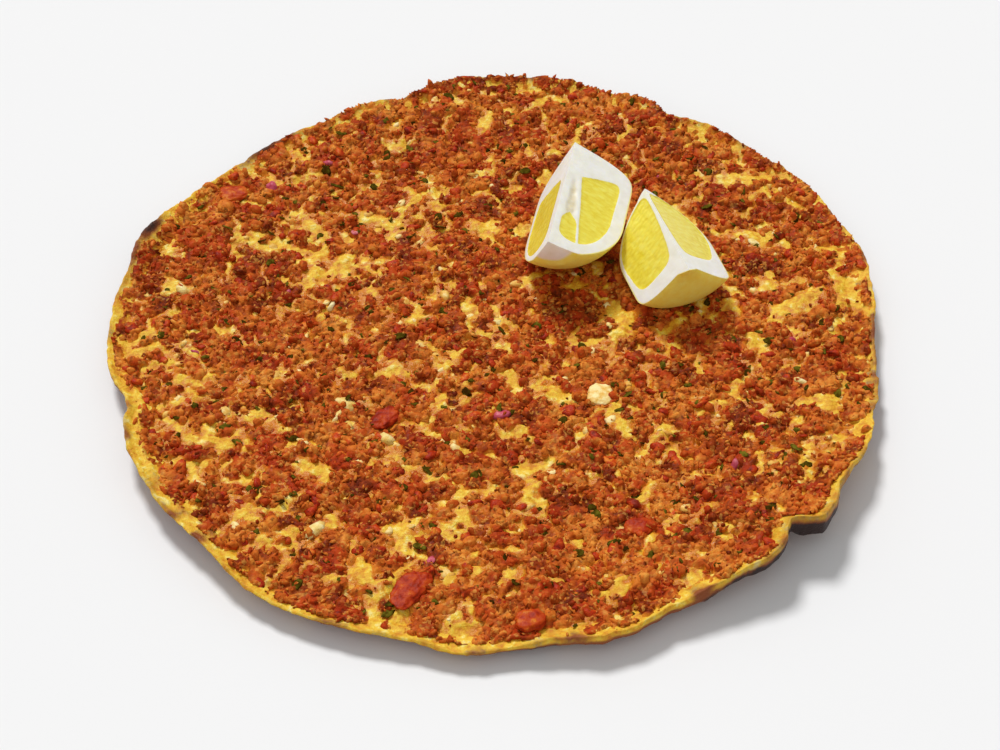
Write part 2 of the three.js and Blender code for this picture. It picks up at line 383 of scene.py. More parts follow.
def webs(x, y):
    total = 0
    for size, seed, weight in WEBS:
        line = 1 - FINENESS * np.abs(fractal(x, y, size, seed, 2))
        total = total + weight * np.maximum(line, COVERED)
    return total


def bareness(x, y):
    """Above 0 where the dough shows, below 0 where the meat covers it."""
    wx = x + 4 * fractal(x, y, 13, 11)
    wy = y + 4 * fractal(x, y, 13, 21)
    ragged = 0.34 * fractal(wx, wy, 6, 41) + 0.34 * fractal(x, y, 2.4, 51, 2)
    grains, _ = pebbles(x, y, 2.3, 61)
    broad = 0.18 * fractal(x, y, 45, 81, 2)
    listed = 0.38 * listed_bareness((x + wx) / 2, (y + wy) / 2)
    islands = 0.5 * smooth(fractal(wx, wy, 6, 71, 2), 0.12, 0.45)
    rim = (0.15 - 0.5 * at_angles([(90, 60, 1)], x, y)) * (1 - smooth(inside_topping(x, y), 0, 4))
    return listed + webs(wx, wy) + ragged + broad + 0.12 * (0.5 - grains) + rim - islands - 0.15


tried_x, tried_y = np.meshgrid(np.linspace(-100, 100, 120), np.linspace(-100, 100, 120))
print("dough shows over %.0f%% of the middle" % (100 * (bareness(tried_x, tried_y) > 0).mean()))

# %% [markdown]
# ## From numbers to meshes
#
# The bed of meat and the skin of dough are height fields: one height for each place.
# Each starts as a flat grid, which is cut to an outline. Its rim is extruded down
# and drawn in to the middle in a few steps, so that it is closed below. A plain grid
# is the quickest start, because after it only heights have to be written.

# %% Blanks for height fields
GRID_HALF = 170.0
UNDER_SHARES = (0.93, 0.82, 0.66)  # the rings below, as shares of the rim
TOP, UNDER = 1.0, 0.0


def blank(spacing, edge_of):
    bm = bmesh.new()
    count = round(2 * GRID_HALF / spacing)
    bmesh.ops.create_grid(bm, x_segments=count, y_segments=count, size=GRID_HALF)
    where = np.array([v.co[:2] for v in bm.verts])
    out = np.hypot(where[:, 0], where[:, 1]) > edge_of(where[:, 0], where[:, 1])
    bm.verts.ensure_lookup_table()
    bmesh.ops.delete(bm, geom=[bm.verts[i] for i in np.flatnonzero(out)], context="VERTS")
    bmesh.ops.delete(bm, geom=[e for e in bm.edges if e.is_wire], context="EDGES")
    for v in bm.verts:
        v.co.z = TOP
    ring = [e for e in bm.edges if e.is_boundary]
    before = 1.0
    for share in (1.0, *UNDER_SHARES, 0.0):
        made = bmesh.ops.extrude_edge_only(bm, edges=ring)["geom"]
        ring = [g for g in made if isinstance(g, bmesh.types.BMEdge)]
        verts = [g for g in made if isinstance(g, bmesh.types.BMVert)]
        for v in verts:
            v.co = (v.co.x * share / before, v.co.y * share / before, UNDER)
        before = share
    bmesh.ops.pointmerge(bm, verts=verts, merge_co=(0, 0, UNDER))
    bmesh.ops.recalc_face_normals(bm, faces=bm.faces)
    return bm


def mesh_from(bm, name):
    mesh = bpy.data.meshes.new(name)
    bm.to_mesh(mesh)
    bm.free()
    return mesh


print("each blank is closed by %d rings below" % (len(UNDER_SHARES) + 2))

# %% [markdown]
# All vertices of a mesh are written at once with `foreach_set`, which is far faster
# than one by one. Numbers that a finish needs later, such as how bare a place is,
# ride along as attributes.

# %% Writing a mesh
def write(mesh, points, **attributes):
    """Writes places in millimetres, and one number for each vertex under each name."""
    mesh.vertices.foreach_set("co", (points * MM).astype(np.float32).ravel())
    for name, values in attributes.items():
        made = mesh.attributes.new(name, "FLOAT", "POINT")
        made.data.foreach_set("value", np.asarray(values, np.float32))
    mesh.shade_smooth()
    mesh.update()


print("a piece's numbers ride along as attributes of its points")

# %% [markdown]
# A finished mesh becomes a piece of the part: it says which body carries it and which
# CAD nodes it stands in for. A closed mesh has two faces at every edge, so each piece
# counts the edges that don't.

# %% Making it a piece
def object_of(name, mesh, replaced=()):
    piece = bpy.data.objects.new(name, mesh)
    bpy.context.scene.collection.objects.link(piece)
    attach(piece, "root")
    if replaced:
        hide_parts(*replaced)
    edge_of = np.empty(len(mesh.loops), np.int32)
    mesh.loops.foreach_get("edge_index", edge_of)
    not_shared = (np.bincount(edge_of, minlength=len(mesh.edges)) != 2).sum()
    triangles = len(mesh.loops) - 2 * len(mesh.polygons)
    print("%-20s %7d triangles, %d edges not shared by two faces" % (name, triangles, not_shared))
    return piece


print("pieces ride on the body root")

# %% [markdown]
# ## The bed of meat
#
# Minced meat bakes into lumps of four or five millimetres, each made of grains of
# about two. A texture could paint them, but low light would show it flat, so two
# layers of pebbles make them in the mesh. How deep each place lies in a crack, which
# the finish turns into painted shade, and the tint are kept as numbers for the finish.

# %% Relief of the meat
MEAT_SPACING = 0.9
LUMP_SIZE, GRAIN_SIZE = 5.4, 2.1


def domes(gap, breadth):
    return 1 - (1 - np.clip(gap / breadth, 0, 1)) ** 2


def meat_relief(x, y, bare):
    """The bed's height over the CAD meat, how deep in a crack it is for the painted shade, and its
    tint.
    """
    wx = x + 2.4 * fractal(x, y, 7, 101, 2) + 0.8 * fractal(x, y, 2.4, 105, 2)
    wy = y + 2.4 * fractal(x, y, 7, 111, 2) + 0.8 * fractal(x, y, 2.4, 115, 2)
    lump_gap, lump = pebbles(wx, wy, LUMP_SIZE, 121)
    grain_gap, grain = pebbles(wx, wy, GRAIN_SIZE, 131)
    islands = 1.4 * smooth(-bare, -0.05, 0.5)
    lumps = domes(lump_gap, 0.55) * (0.45 + 0.8 * lump)
    grains = domes(grain_gap, 0.6) * (0.2 + 0.4 * grain)
    rough = 0.5 * fractal(x, y, 13, 141) + 0.5 * fractal(x, y, 3.2, 151, 2)
    height = islands + 1.5 * lumps + grains + rough - 2.2
    # Painted shade: the deeper a place lies in a crack between lumps and between grains, the
    # darker the finish paints it.
    cavity = (1 - domes(lump_gap, 0.42)) * (0.9 - 0.5 * lump) + (1 - domes(grain_gap, 0.3)) * 0.25
    tint = 0.5 + 0.9 * fractal(x, y, 8, 161, 2) + 0.45 * (lump - 0.5) + 0.2 * (grain - 0.5)
    return height, cavity * smooth(-bare, 0, 0.2), np.clip(tint, 0, 1)


print("lumps of %.1f mm, made of grains of %.1f mm" % (LUMP_SIZE, GRAIN_SIZE))

# %% [markdown]
# The bed follows the CAD meat, but never sinks into the bread, and it thins to a
# feather edge over its last six millimetres. Where the dough shows, it dips below it.

# %% Height of the meat
FEATHER = 6  # how wide the thinning edge is
DIP = 1.8  # how far the bed dips where the dough shows


def meat_height(x, y, bare, relief):
    inside = np.maximum(inside_topping(x, y), 0)
    least = carried_on(BREAD_TOP, x, y) + 1.1 + 0.6 * relief
    full = np.maximum(sample(MEAT_TOP, x, y) + relief, least)
    thin = least + 0.55 * inside
    feathered = np.where(inside < FEATHER, np.minimum(full, thin), full)
    return feathered - DIP * smooth(bare, -0.03, 0.10)


print("the bed thins over its last %d mm" % FEATHER)

# %% [markdown]
# The blank's grid points are shaken a little, so that no straight rows show, and
# then they get their heights.

# %% Meat bed
mesh = mesh_from(blank(MEAT_SPACING, lambda x, y: topping_edge(x, y) - 0.2), "minced_meat_bed")
points = points_of(mesh)
x, y, is_top = points[:, 0], points[:, 1], points[:, 2] > 0.5
x = x + np.where(is_top, 0.25 * lattice(x, y, 1.3, 5), 0)
y = y + np.where(is_top, 0.25 * lattice(x, y, 1.3, 6), 0)
bare = bareness(x, y)
relief, cavity, tint = meat_relief(x, y, bare)
top = meat_height(x, y, bare, relief)
under = carried_on(BREAD_TOP, x, y) - 0.4
write(mesh, np.stack([x, y, np.where(is_top, np.maximum(top, under + 0.1), under)], 1),
      bare=bare, cavity=cavity, tint=tint)
meat_bed = object_of("minced_meat_bed", mesh, ["minced_meat"])
print("dough shows over %.0f%% of the meat" % (100 * (bare[is_top] > 0).mean()))

# %% [markdown]
# ## The skin of dough
#
# The dough swells as it bakes, so where it is bare it stands nearly as high as the
# meat, in soft blisters. It could be part of the bread's mesh, but the bread is
# turned in rings and this needs an even grid, so it is a second height field that
# shares the bread's finish.

# %% Height of the bare dough
SKIN_SPACING = 1.25
BUBBLE_SIZE = 4.2
TUCK = 1.3  # how far it is tucked under the meat


def blisters_of(x, y):
    swellings = 0.9 * listed_bareness(x, y) + 0.7 * fractal(x, y, 7, 201, 2)
    bent_x, bent_y = x + fractal(x, y, 4, 205), y + fractal(x, y, 4, 207)
    bubble_gap, bubble = pebbles(bent_x, bent_y, BUBBLE_SIZE, 211)
    return swellings + 1.3 * domes(bubble_gap, 0.7) * bubble - 0.4


def skin_height(x, y, bare):
    inside = edge_at(MEAT_EDGE, x, y) - np.hypot(x, y)
    level = smooth(inside, -1, 9)
    soft = sample(BREAD_TOP, x, y) * (1 - level) + (sample(MEAT_TOP, x, y) - 1.0) * level
    raised = soft + blisters_of(x, y) * (0.2 + 0.8 * level)
    tucked = TUCK * smooth(-bare, 0.1, 0.4)
    return raised - tucked * level - 0.7 * (1 - smooth(inside, 0.5, 3))


print("bubbles of %.1f mm" % BUBBLE_SIZE)

# %% [markdown]
# Its underside sits in the bread, where it can't be seen. It has the bread's
# attributes too, because both share one finish.

# %% Bare dough
mesh = mesh_from(blank(SKIN_SPACING, lambda x, y: edge_at(MEAT_EDGE, x, y) + 0.5), "bare_dough")
points = points_of(mesh)
x, y, is_top = points[:, 0], points[:, 1], points[:, 2] > 0.5
bare = bareness(x, y)
under = sample(BREAD_TOP, x, y) - 0.8
top = np.maximum(skin_height(x, y, bare), under + 0.2)
write(mesh, np.stack([x, y, np.where(is_top, top, under)], 1),
      bare=bare, toast=np.zeros(x.shape), char=np.zeros(x.shape))
bare_dough = object_of("bare_dough", mesh)

# %% [markdown]
# ## The bread
#
# The bread is turned like a pot: one half of its cross-section is spun round the
# axis, with many rings near the rim and few where the meat hides it. A grid would
# leave a jagged edge, and rings give a clean one. Each ring knows only its share of
# the radius and its level, and the heights come from the maps.

# %% Flatbread
BREAD_STEPS = 900
LIP = 0.8  # the lip is thin, and rounded to this radius
TOP_RINGS = [0.0, 0.35, 0.6, 0.75, 0.84, 0.88]
RIM_RINGS = 19  # from there to the edge
EDGE_RINGS = 7  # round the lip
UNDER_RINGS = [0.99, 0.975, 0.96, 0.94, 0.92, 0.89, 0.85, 0.8, 0.72, 0.6, 0.35, 0.0]

profile = [(share, 1.0) for share in TOP_RINGS]
profile += [(share, 1.0) for share in np.linspace(0.9, 1.0, RIM_RINGS)]
profile += [(1.0, 1 - k / (EDGE_RINGS + 1)) for k in range(1, EDGE_RINGS + 1)]
profile += [(1.0, 0.0)] + [(share, 0.0) for share in UNDER_RINGS]
bm = bmesh.new()
verts = [bm.verts.new((share, 0, level)) for share, level in profile]
edges = [bm.edges.new(pair) for pair in zip(verts, verts[1:])]
bmesh.ops.spin(bm, geom=verts + edges, cent=(0, 0, 0), axis=(0, 0, 1),
               angle=2 * math.pi, steps=BREAD_STEPS, use_merge=True)
poles = [v for v in bm.verts if math.hypot(v.co.x, v.co.y) < 1e-6]
bmesh.ops.remove_doubles(bm, verts=poles, dist=1e-4)
bmesh.ops.recalc_face_normals(bm, faces=bm.faces)
mesh = mesh_from(bm, "baked_flatbread")
print("%d rings of %d steps" % (len(profile), BREAD_STEPS))

# %% [markdown]
# Each ring is drawn out to its share of the ragged lip's radius. The rings of the
# edge itself go round the lip in half a circle.

# %% The bread's outline
points = points_of(mesh)
share, level = np.hypot(points[:, 0], points[:, 1]), points[:, 2]
turn = np.arctan2(points[:, 1], points[:, 0])
ux, uy = np.cos(turn), np.sin(turn)
edge = lip_radius(ux, uy)
round_lip = (level - 0.5) * math.pi
on_lip = share > 0.9999
radius = share * (edge - LIP) + np.where(on_lip, LIP * np.cos(round_lip), 0)
from_edge = edge - radius
x, y = radius * ux, radius * uy
print("bread %.1f mm wide, %.1f mm deep" % (np.ptp(x), np.ptp(y)))

# %% [markdown]
# The heights come from the two maps. The bread thins towards its lip, and in a few
# places its edge curls down outside, which shows as a dark side under the rim; that
# side's colour is darkened too, partly as painted shade.

# %% The bread's two faces
HANGING = [(319, 8, 9.0), (303, 9, 5.0), (285, 12, 3.0), (200, 10, 2.5)]

upper, lower = carried_on(BREAD_TOP, x, y), carried_on(BREAD_UNDER, x, y)
thinned = (upper - lower) * (1 - 0.6 * smooth(from_edge, 5, 0.5))
uneven = 0.8 + 0.5 * fractal(x, y, 9, 395)
hanging = at_angles(HANGING, ux, uy) * uneven * smooth(from_edge, 10, 1)
lower = np.maximum(upper - thinned - hanging, 0.1)
middle, half = (upper + lower) / 2, (upper - lower) / 2
z = np.where(on_lip, middle + half * np.sin(round_lip), np.where(level > 0.5, upper, lower))
print("the edge hangs down by up to %.1f mm" % hanging.max())

# %% [markdown]
# The rim is what shows of the bread. It has a raised, ragged lip, a second fold
# where the edge tucked in, and small bubbles from the oven's heat.

# %% The rim's relief
FOLDED = [(205, 10, 1.0), (225, 8, 0.6), (258, 6, 0.5), (285, 7, 0.4)]

lip_height = 0.35 + 0.9 * fractal(RIM_CIRCLE * ux, RIM_CIRCLE * uy, 11, 321, 3)
bead = lip_height * np.exp(-(((from_edge - 1.0) / 0.8) ** 2))
second = 6.0 + 1.6 * fractal(x, y, 9, 331)  # how far in the second fold lies
folded = 1.2 * np.clip(at_angles(FOLDED, ux, uy), 0, 1)
fold = folded * np.exp(-(((from_edge - second) / 0.9) ** 2))
bubbles = 0.4 * fractal(x, y, 4, 341) + 0.3 * fractal(x, y, 1.8, 351, 2)
z = z + np.where(level > 0.5, bead + fold + bubbles, 0.5 * bubbles) * smooth(share, 0.86, 0.93)
z = np.maximum(z, np.where(level > 0.5, 0.3, 0))
print("the bead along the lip is up to %.1f mm high" % bead.max())

# %% [markdown]
# Two numbers go to the finish: the toast, where the dough browned, which is the lip,
# the folds and the whole underside, and the char, where it touched the oven and
# scorched. On the side and the underside both are raised further, partly by real
# baking and partly as painted shade. Scorched spots are ragged, so noise decides how
# far they reach.

# %% Toasted and scorched places
# The last three sit where the edge hangs down at the front right, and their black is partly real
# scorching and partly painted shade.
SCORCHED = [(159, 4, 2.4), (131, 8, 2.0), (66, 4, 1.6), (24, 4, 1.0), (318, 9, 1.1),
            (303, 10, 0.8), (285, 9, 0.5)]
MOST_SCORCHED = 2.4

# On the side and the underside the dough is browned and blackened further, partly by real baking
# and partly as painted shade.
below = smooth(level, 0.75, 0.35)  # 0 on top, 1 on the side and the underside
toast = 0.30 * smooth(from_edge, 5, 0.5) + 0.25 * bead + 0.3 * fold + 0.8 * fractal(x, y, 8, 361)
toast = np.clip(np.maximum(toast, below * (0.75 + 0.5 * fractal(x, y, 12, 371))), 0, 1)
scorch = np.clip(at_angles(SCORCHED, ux, uy), 0, MOST_SCORCHED)
ragged = smooth(0.5 * fractal(x, y, 6, 381) + scorch, 0.3, 0.8)
char = scorch * (0.35 + 0.65 * below) * smooth(from_edge, 7, 1) * ragged
char = np.maximum(char, below * 0.7 * smooth(fractal(x, y, 11, 391), 0.2, 0.5))
toast = np.maximum(toast, 1.2 * char)
write(mesh, np.stack([x, y, z], 1), bare=np.full(x.shape, 0.5), toast=toast, char=char)
baked_flatbread = object_of("baked_flatbread", mesh, ["flatbread"])
print("scorched over %.0f%% of its points" % (100 * (char > 1).mean()))

# %% [markdown]
# ## Crumbs
#
# Loose crumbs are what makes minced meat look minced. A few dozen uneven lumps are
# made once, then copied thousands of times into one mesh, each with its own turn,
# size and tint. Thousands of separate objects would be slow, and a joined mesh keeps
# them all one piece. A lump starts as an icosphere, whose faces are all about alike.

# %% Lumps to copy
def lumps_of(count, detail, roughness, seed, boxy=2.0):
    """A few uneven lumps of radius 1, each as its points and its triangles."""
    rng = np.random.default_rng(seed)
    shapes = []
    for _ in range(count):
        bm = bmesh.new()
        bmesh.ops.create_icosphere(bm, subdivisions=detail, radius=1)
        points = np.array([v.co for v in bm.verts])
        faces = np.array([[v.index for v in f.verts] for f in bm.faces])
        bm.free()
        points /= (np.abs(points) ** boxy).sum(1)[:, None] ** (1 / boxy)
        swell = np.zeros(len(points))
        for wave in (1.7, 2.6, 4.1):
            way = rng.normal(size=3)
            along = wave * points @ (way / np.linalg.norm(way))
            swell += np.sin(along + rng.uniform(0, 6.3)) / wave
        swell = roughness * swell + rng.uniform(-0.5, 0.5, len(points)) * roughness
        shapes.append((points * (1 + swell)[:, None], faces))
    return shapes


rough_lumps = lumps_of(20, 2, 0.42, 401)
torn_lumps = lumps_of(20, 2, 0.42, 405, boxy=3)
ragged_lumps = lumps_of(20, 2, 0.6, 404)
small_lumps = lumps_of(24, 1, 0.52, 402)
print("lumps to copy:", len(rough_lumps + torn_lumps + ragged_lumps + small_lumps))

# %% [markdown]
# Each copy is turned about the upright axis, tilted, and turned again. Three small
# matrices do that for all copies at once.

# %% Turning the copies
def turns(rng, count, tilt):
    """Turning matrices: any turn about Z, tilted by up to some degrees, and turned again."""
    first, last = rng.uniform(0, 2 * math.pi, (2, count))
    lean = np.radians(tilt) * rng.uniform(-1, 1, count)

    def turned(angles, a, b):
        m = np.tile(np.eye(3), (count, 1, 1))
        m[:, a, a], m[:, b, b] = np.cos(angles), np.cos(angles)
        m[:, a, b], m[:, b, a] = -np.sin(angles), np.sin(angles)
        return m

    return turned(last, 0, 1) @ turned(lean, 1, 2) @ turned(first, 0, 1)


# How much a crumb is stretched along its own three axes, each from least to most.
ANY = [(0.7, 1.3), (0.7, 1.3), (0.6, 1.0)]
STRAND = [(1.0, 2.1), (0.5, 0.85), (0.5, 0.8)]
FLAKE = [(0.8, 1.3), (0.5, 0.9), (0.10, 0.16)]
FLAT = [(0.9, 1.4), (0.6, 1.0), (0.35, 0.55)]
STRIP = [(0.9, 1.3), (0.4, 0.6), (0.3, 0.45)]
print("a strand is up to %.1f times as long as wide" % (STRAND[0][1] / STRAND[1][0]))

# %% [markdown]
# The copies of one kind are joined in one mesh. Each remembers its tint in all its
# points, so that the finish can give every crumb a shade of its own.

# %% Scattering
def scatter(name, shapes, x, y, z, sizes, stretch, tilt, seed, tints=None):
    """Joins copies of the shapes, one at each place, into one piece."""
    rng = np.random.default_rng(seed)
    count = len(x)
    which = rng.integers(len(shapes), size=count)
    scale = sizes[:, None] / 2 * rng.uniform(*np.array(stretch).T, (count, 3))
    turn = turns(rng, count, tilt)
    tints = rng.random(count) if tints is None else tints
    all_points, all_faces, all_tints, first = [], [], [], 0
    for k, (points, faces) in enumerate(shapes):
        mine = np.flatnonzero(which == k)
        placed = np.einsum("nij,npj->npi", turn[mine], points[None] * scale[mine][:, None])
        placed += np.stack([x[mine], y[mine], z[mine]], 1)[:, None]
        steps = first + len(points) * np.arange(len(mine))
        all_points.append(placed.reshape(-1, 3))
        all_faces.append((faces[None] + steps[:, None, None]).reshape(-1, 3))
        all_tints.append(np.repeat(tints[mine], len(points)))
        first += len(points) * len(mine)
    points, faces = np.concatenate(all_points), np.concatenate(all_faces)
    mesh = bpy.data.meshes.new(name)
    mesh.from_pydata(points.tolist(), [], faces.tolist())
    write(mesh, points, tint=np.concatenate(all_tints))
    return object_of(name, mesh)


print("a kind of crumb is one mesh, with a tint for each copy")

# %% [markdown]
# Crumbs lie on a shaken grid: spread evenly enough to cover, but in no rows. The
# bareness says where a kind may lie, so meat keeps to the meat and parsley goes
# anywhere. Their height is that of the bed or the dough, whichever is on top.

# %% Where crumbs may lie
SCATTER_HALF = 165


def spots(spacing, seed, most_bare=0.02, least_bare=-9.0, inset=3.0, thinning=0.0):
    """Places on a shaken grid where the bareness is between two limits."""
    rng = np.random.default_rng(seed)
    lines = np.arange(-SCATTER_HALF, SCATTER_HALF, spacing)
    x, y = (g.ravel() for g in np.meshgrid(lines, lines))
    x = x + rng.uniform(-0.5, 0.5, x.size) * spacing
    y = y + rng.uniform(-0.5, 0.5, y.size) * spacing
    keep = inside_topping(x, y) > inset
    x, y = x[keep], y[keep]
    bare = bareness(x, y)
    keep = (bare < most_bare) & (bare > least_bare) & (rng.random(x.size) >= thinning)
    return x[keep], y[keep], bare[keep]


def surface(x, y, bare):
    relief, _, _ = meat_relief(x, y, bare)
    return np.maximum(meat_height(x, y, bare, relief), skin_height(x, y, bare))


def tint_near(x, y, bare, spread, seed):
    """A crumb's tint is its neighbourhood's, give or take."""
    _, _, tint = meat_relief(x, y, bare)
    return np.clip(tint + spread * np.random.default_rng(seed).uniform(-1, 1, x.size), 0, 1)


def drawn(x, seed, least, most):
    """One random number for each place."""
    return np.random.default_rng(seed).uniform(least, most, x.size)


print("spots on a grid of 6.6 mm:", spots(6.6, 411)[0].size)

# %% [markdown]
# The largest crumbs are lumps of three or four millimetres that stand free of the
# bed.

# %% Meat lumps
x, y, bare = spots(6.6, 411, most_bare=-0.12, inset=0.9)
sizes = drawn(x, 412, 2.6, 4.6)
z = surface(x, y, bare) - 0.12 * sizes
tints = tint_near(x, y, bare, 0.15, 414)
meat_lumps = scatter("meat_lumps", rough_lumps, x, y, z, sizes, ANY, 180, 413, tints)

# %% [markdown]
# Mince leaves the mincer in strands, so the smaller crumbs are longer than wide, and
# lie nearly flat.

# %% Meat crumbs
x, y, bare = spots(2.8, 421, most_bare=-0.06, inset=0.2)
sizes = drawn(x, 422, 1.2, 2.7)
z = surface(x, y, bare) - 0.22 * sizes
tints = tint_near(x, y, bare, 0.2, 424)
meat_crumbs = scatter("meat_crumbs", small_lumps, x, y, z,
                      sizes, STRAND, 35, 423, tints)

# %% [markdown]
# The smallest are about a millimetre and a half, fried to a brighter orange by the
# fat. They lie on top, and some have rolled to the edge of the dough.

# %% Bright crumbs
x, y, bare = spots(3.9, 431, most_bare=0.0, inset=0.4)
sizes = drawn(x, 432, 0.9, 2.0)
z = surface(x, y, bare) - 0.08 * sizes
tints = drawn(x, 433, 0.65, 1.0)
bright_crumbs = scatter("meat_crumbs_bright", small_lumps, x, y, z,
                        sizes, STRAND, 40, 434, tints)

# %% [markdown]
# ## Vegetables
#
# Diced tomato, onion and chopped parsley are mixed into the meat. They are the same
# kind of copies, in their own shapes, sizes and colours. Tomato and onion keep
# something of their cut corners, and are pressed half into the meat.

# %% Bits of tomato
x, y, bare = spots(9.5, 511, most_bare=-0.05, inset=1.5, thinning=0.25)
sizes = drawn(x, 512, 2.4, 5.6)
z = surface(x, y, bare) - 0.24 * sizes
tomato_bits = scatter("tomato_bits", torn_lumps, x, y, z, sizes, FLAT, 40, 513)

# %% [markdown]
# The golden bits of onion show best at the border between meat and dough.

# %% Bits of onion
x, y, bare = spots(9, 521, most_bare=0.5, least_bare=-0.15, inset=5, thinning=0.5)
sizes = drawn(x, 522, 1.8, 4.6)
z = surface(x, y, bare) - 0.18 * sizes
onion_bits = scatter("onion_bits", torn_lumps, x, y, z, sizes, FLAT, 40, 523)

# %% [markdown]
# Chopped parsley dries in the oven to thin, crumpled flakes, so the most ragged
# lumps are pressed flat.

# %% Parsley flakes
x, y, bare = spots(9.2, 541, most_bare=0.1, inset=3, thinning=0.25)
sizes = drawn(x, 542, 1.5, 4.4)
z = surface(x, y, bare) - 0.05
parsley = scatter("parsley_flakes", ragged_lumps, x, y, z, sizes, FLAKE, 40, 543)

# %% [markdown]
# A few crumbs burnt black. They are meat too, with the darkest tint.

# %% Charred specks
x, y, bare = spots(9.5, 551, most_bare=0.3, inset=3, thinning=0.2)
sizes = drawn(x, 552, 0.8, 1.8)
z = surface(x, y, bare) + 0.1
specks = scatter("charred_specks", small_lumps, x, y, z, sizes, ANY, 180, 553,
                 np.zeros(x.size))

# %% [markdown]
# A few strips of onion stayed nearly white. They are large and few enough to be
# listed one by one: where each is, and its size.

# %% Pale strips of onion
PALE = [(-56, -40, 8), (-61, -48, 6), (-39, -60, 8), (-55, -52, 5), (-21, -61, 6),
        (2, 7, 6), (109, 54, 7), (-126, 23, 7), (-66, 14, 6), (83, -57, 5), (-65, -106, 7),
        (46, 3, 5), (-8, 98, 6), (120, -30, 5)]
x, y, sizes = (np.array(column, float) for column in zip(*PALE))
z = surface(x, y, bareness(x, y)) - 0.10 * sizes
pale_onion = scatter("pale_onion_strips", ragged_lumps, x, y, z, sizes, STRIP, 30, 571)

# %% [markdown]
# A few bits of red onion kept a strong pink. They are listed in the same way.

# %% Pink bits of onion
PINK = [(-71, 104, 5), (-95, 87, 4.5), (3, -47, 4.8), (-40, -46, 4), (-58, 60, 3),
        (90, -76, 3.2), (22, 78, 3), (118, -6, 3), (-118, -12, 3), (-22, -120, 3.2),
        (70, 96, 3), (-84, 22, 3)]
x, y, sizes = (np.array(column, float) for column in zip(*PINK))
z = surface(x, y, bareness(x, y)) - 0.05 * sizes
pink_onion = scatter("pink_onion_bits", torn_lumps, x, y, z, sizes, FLAT, 50, 561)

# %% [markdown]
# ## The large pieces
#
# Each large piece of tomato or onion has a CAD node. The detailed one takes its
# middle, its direction and its size from that node's own vertices, so it can't
# drift away from it.

# %% How a node lies
def lie_of(node):
    """A node's middle, the turn of its longest side, and its three half sizes."""
    points = points_of(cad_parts[node].data) / MM
    low, high = points.min(0), points.max(0)
    middle = (low + high) / 2
    flat = np.unique(np.round(points[:, :2], 2), axis=0) - middle[:2]
    _, ways = np.linalg.eigh(flat.T @ flat)
    along = ways[:, 1]
    across = np.array([-along[1], along[0]])
    halves = np.abs(flat @ along).max(), np.abs(flat @ across).max(), (high[2] - low[2]) / 2
    return middle, math.atan2(along[1], along[0]), halves


for piece in ("tomato_piece_front", "onion_slice"):
    print(piece, "half sizes %.1f, %.1f and %.1f mm" % lie_of(piece)[2])

# %% [markdown]
# A cut piece of tomato shrinks as it bakes: its corners round off and its skin
# dents. An icosphere is drawn out towards a box, dented by noise, and stretched to
# the node's size. The noise is read on three flat views of the lump and added up,
# so that no view's seam shows.

# %% Large pieces of vegetables
BOXY = 2.5  # 2 is a ball, and more is nearer to a box
SQUASHED, SETTLED = 0.8, 0.5  # its share of the node's height, and how far it sank


def on_views(way, fineness, *seeds):
    x, y, z = fineness * way.T
    views = ((x, y), (y, z), (z, x))
    return sum(fractal(u, v, 4, seed) for (u, v), seed in zip(views, seeds))


def chunk(name, node, seed, dents):
    middle, turn, halves = lie_of(node)
    bm = bmesh.new()
    bmesh.ops.create_icosphere(bm, subdivisions=5, radius=1)
    mesh = mesh_from(bm, name)
    way = points_of(mesh)
    boxy = way / (np.abs(way) ** BOXY).sum(1)[:, None] ** (1 / BOXY)
    dent = dents * on_views(way, 6, seed, seed + 3, seed + 6) / 1.5
    fine = 0.05 * on_views(way, 20, seed + 11, seed + 13)
    body = boxy * (0.95 + dent + fine)[:, None] * np.array(halves) * (1, 1, SQUASHED)
    x, y, z = (body - (0, 0, SETTLED)).T
    c, s = math.cos(turn), math.sin(turn)
    turned = np.stack([c * x - s * y, s * x + c * y, z], 1)
    write(mesh, turned + middle, tint=np.full(len(way), (seed * 0.37) % 1))
    return object_of(name, mesh, [node])


tomato_pieces = [
    chunk("tomato_" + place, "tomato_piece_" + place, 601 + k, 0.26)
    for k, place in enumerate(("front", "edge", "middle", "right", "back"))
]
onion_piece = chunk("onion_piece", "onion_slice", 613, 0.12)

# %% [markdown]
# ## Lemon quarters
#
# A lemon is nearly round across. Along it, it bulges from the stem end, which was
# trimmed flat, and draws in to a nipple at the other. `lemon_radius` gives its
# radius at each place along it, and each quarter has its own length and thickness.

# %% Shape of a lemon
LEMONS = {
    "left": dict(node="lemon_quarter_left", heading=79, roll=-18, radius=29.5, length=62,
                 trimmed=5, shoulder=4.5, seed=704),
    "right": dict(node="lemon_quarter_right", heading=287, roll=7, radius=27.5, length=46,
                  trimmed=1, shoulder=1.5, seed=705),
}
NIPPLE_RADIUS, NIPPLE_LENGTH, NIPPLE_ROOT = 15, 5, 4
END_BULGE = 2.0  # of the trimmed stem end


def lemon_radius(y, radius, length, shoulder):
    """The radius all along a lemon. `shoulder` is how far up the nipple the body reaches."""
    stem = radius * (1 - np.clip(y / (length / 2), -1, 0) ** 2) ** 0.6
    body = radius * np.sqrt(1 - np.clip(y / (length / 2 + shoulder), 0, 1) ** 12)
    from_tip = length / 2 + NIPPLE_LENGTH - y
    nipple = NIPPLE_RADIUS * np.clip(from_tip / (NIPPLE_LENGTH + NIPPLE_ROOT), 0, 1)
    return np.where(y < 0, stem, np.maximum(body, nipple))


print("left lemon %.0f mm thick, right lemon %.0f mm thick"
      % (2 * LEMONS["left"]["radius"], 2 * LEMONS["right"]["radius"]))

# %% [markdown]
# On a cut face the flesh is set in white pith. Its outline is described by a few
# limits: how near it comes to the core, to the rind and to both ends. The least of
# the distances to them says how far inside the flesh a place is, and a soft least
# rounds the corners. Thin walls between the segments are taken out of it.

# %% Where the flesh is
SOFTNESS = 2.2  # how widely the corners of the flesh are rounded
SLANT_FROM = 6  # how far out from the core the slanted end is at its given place

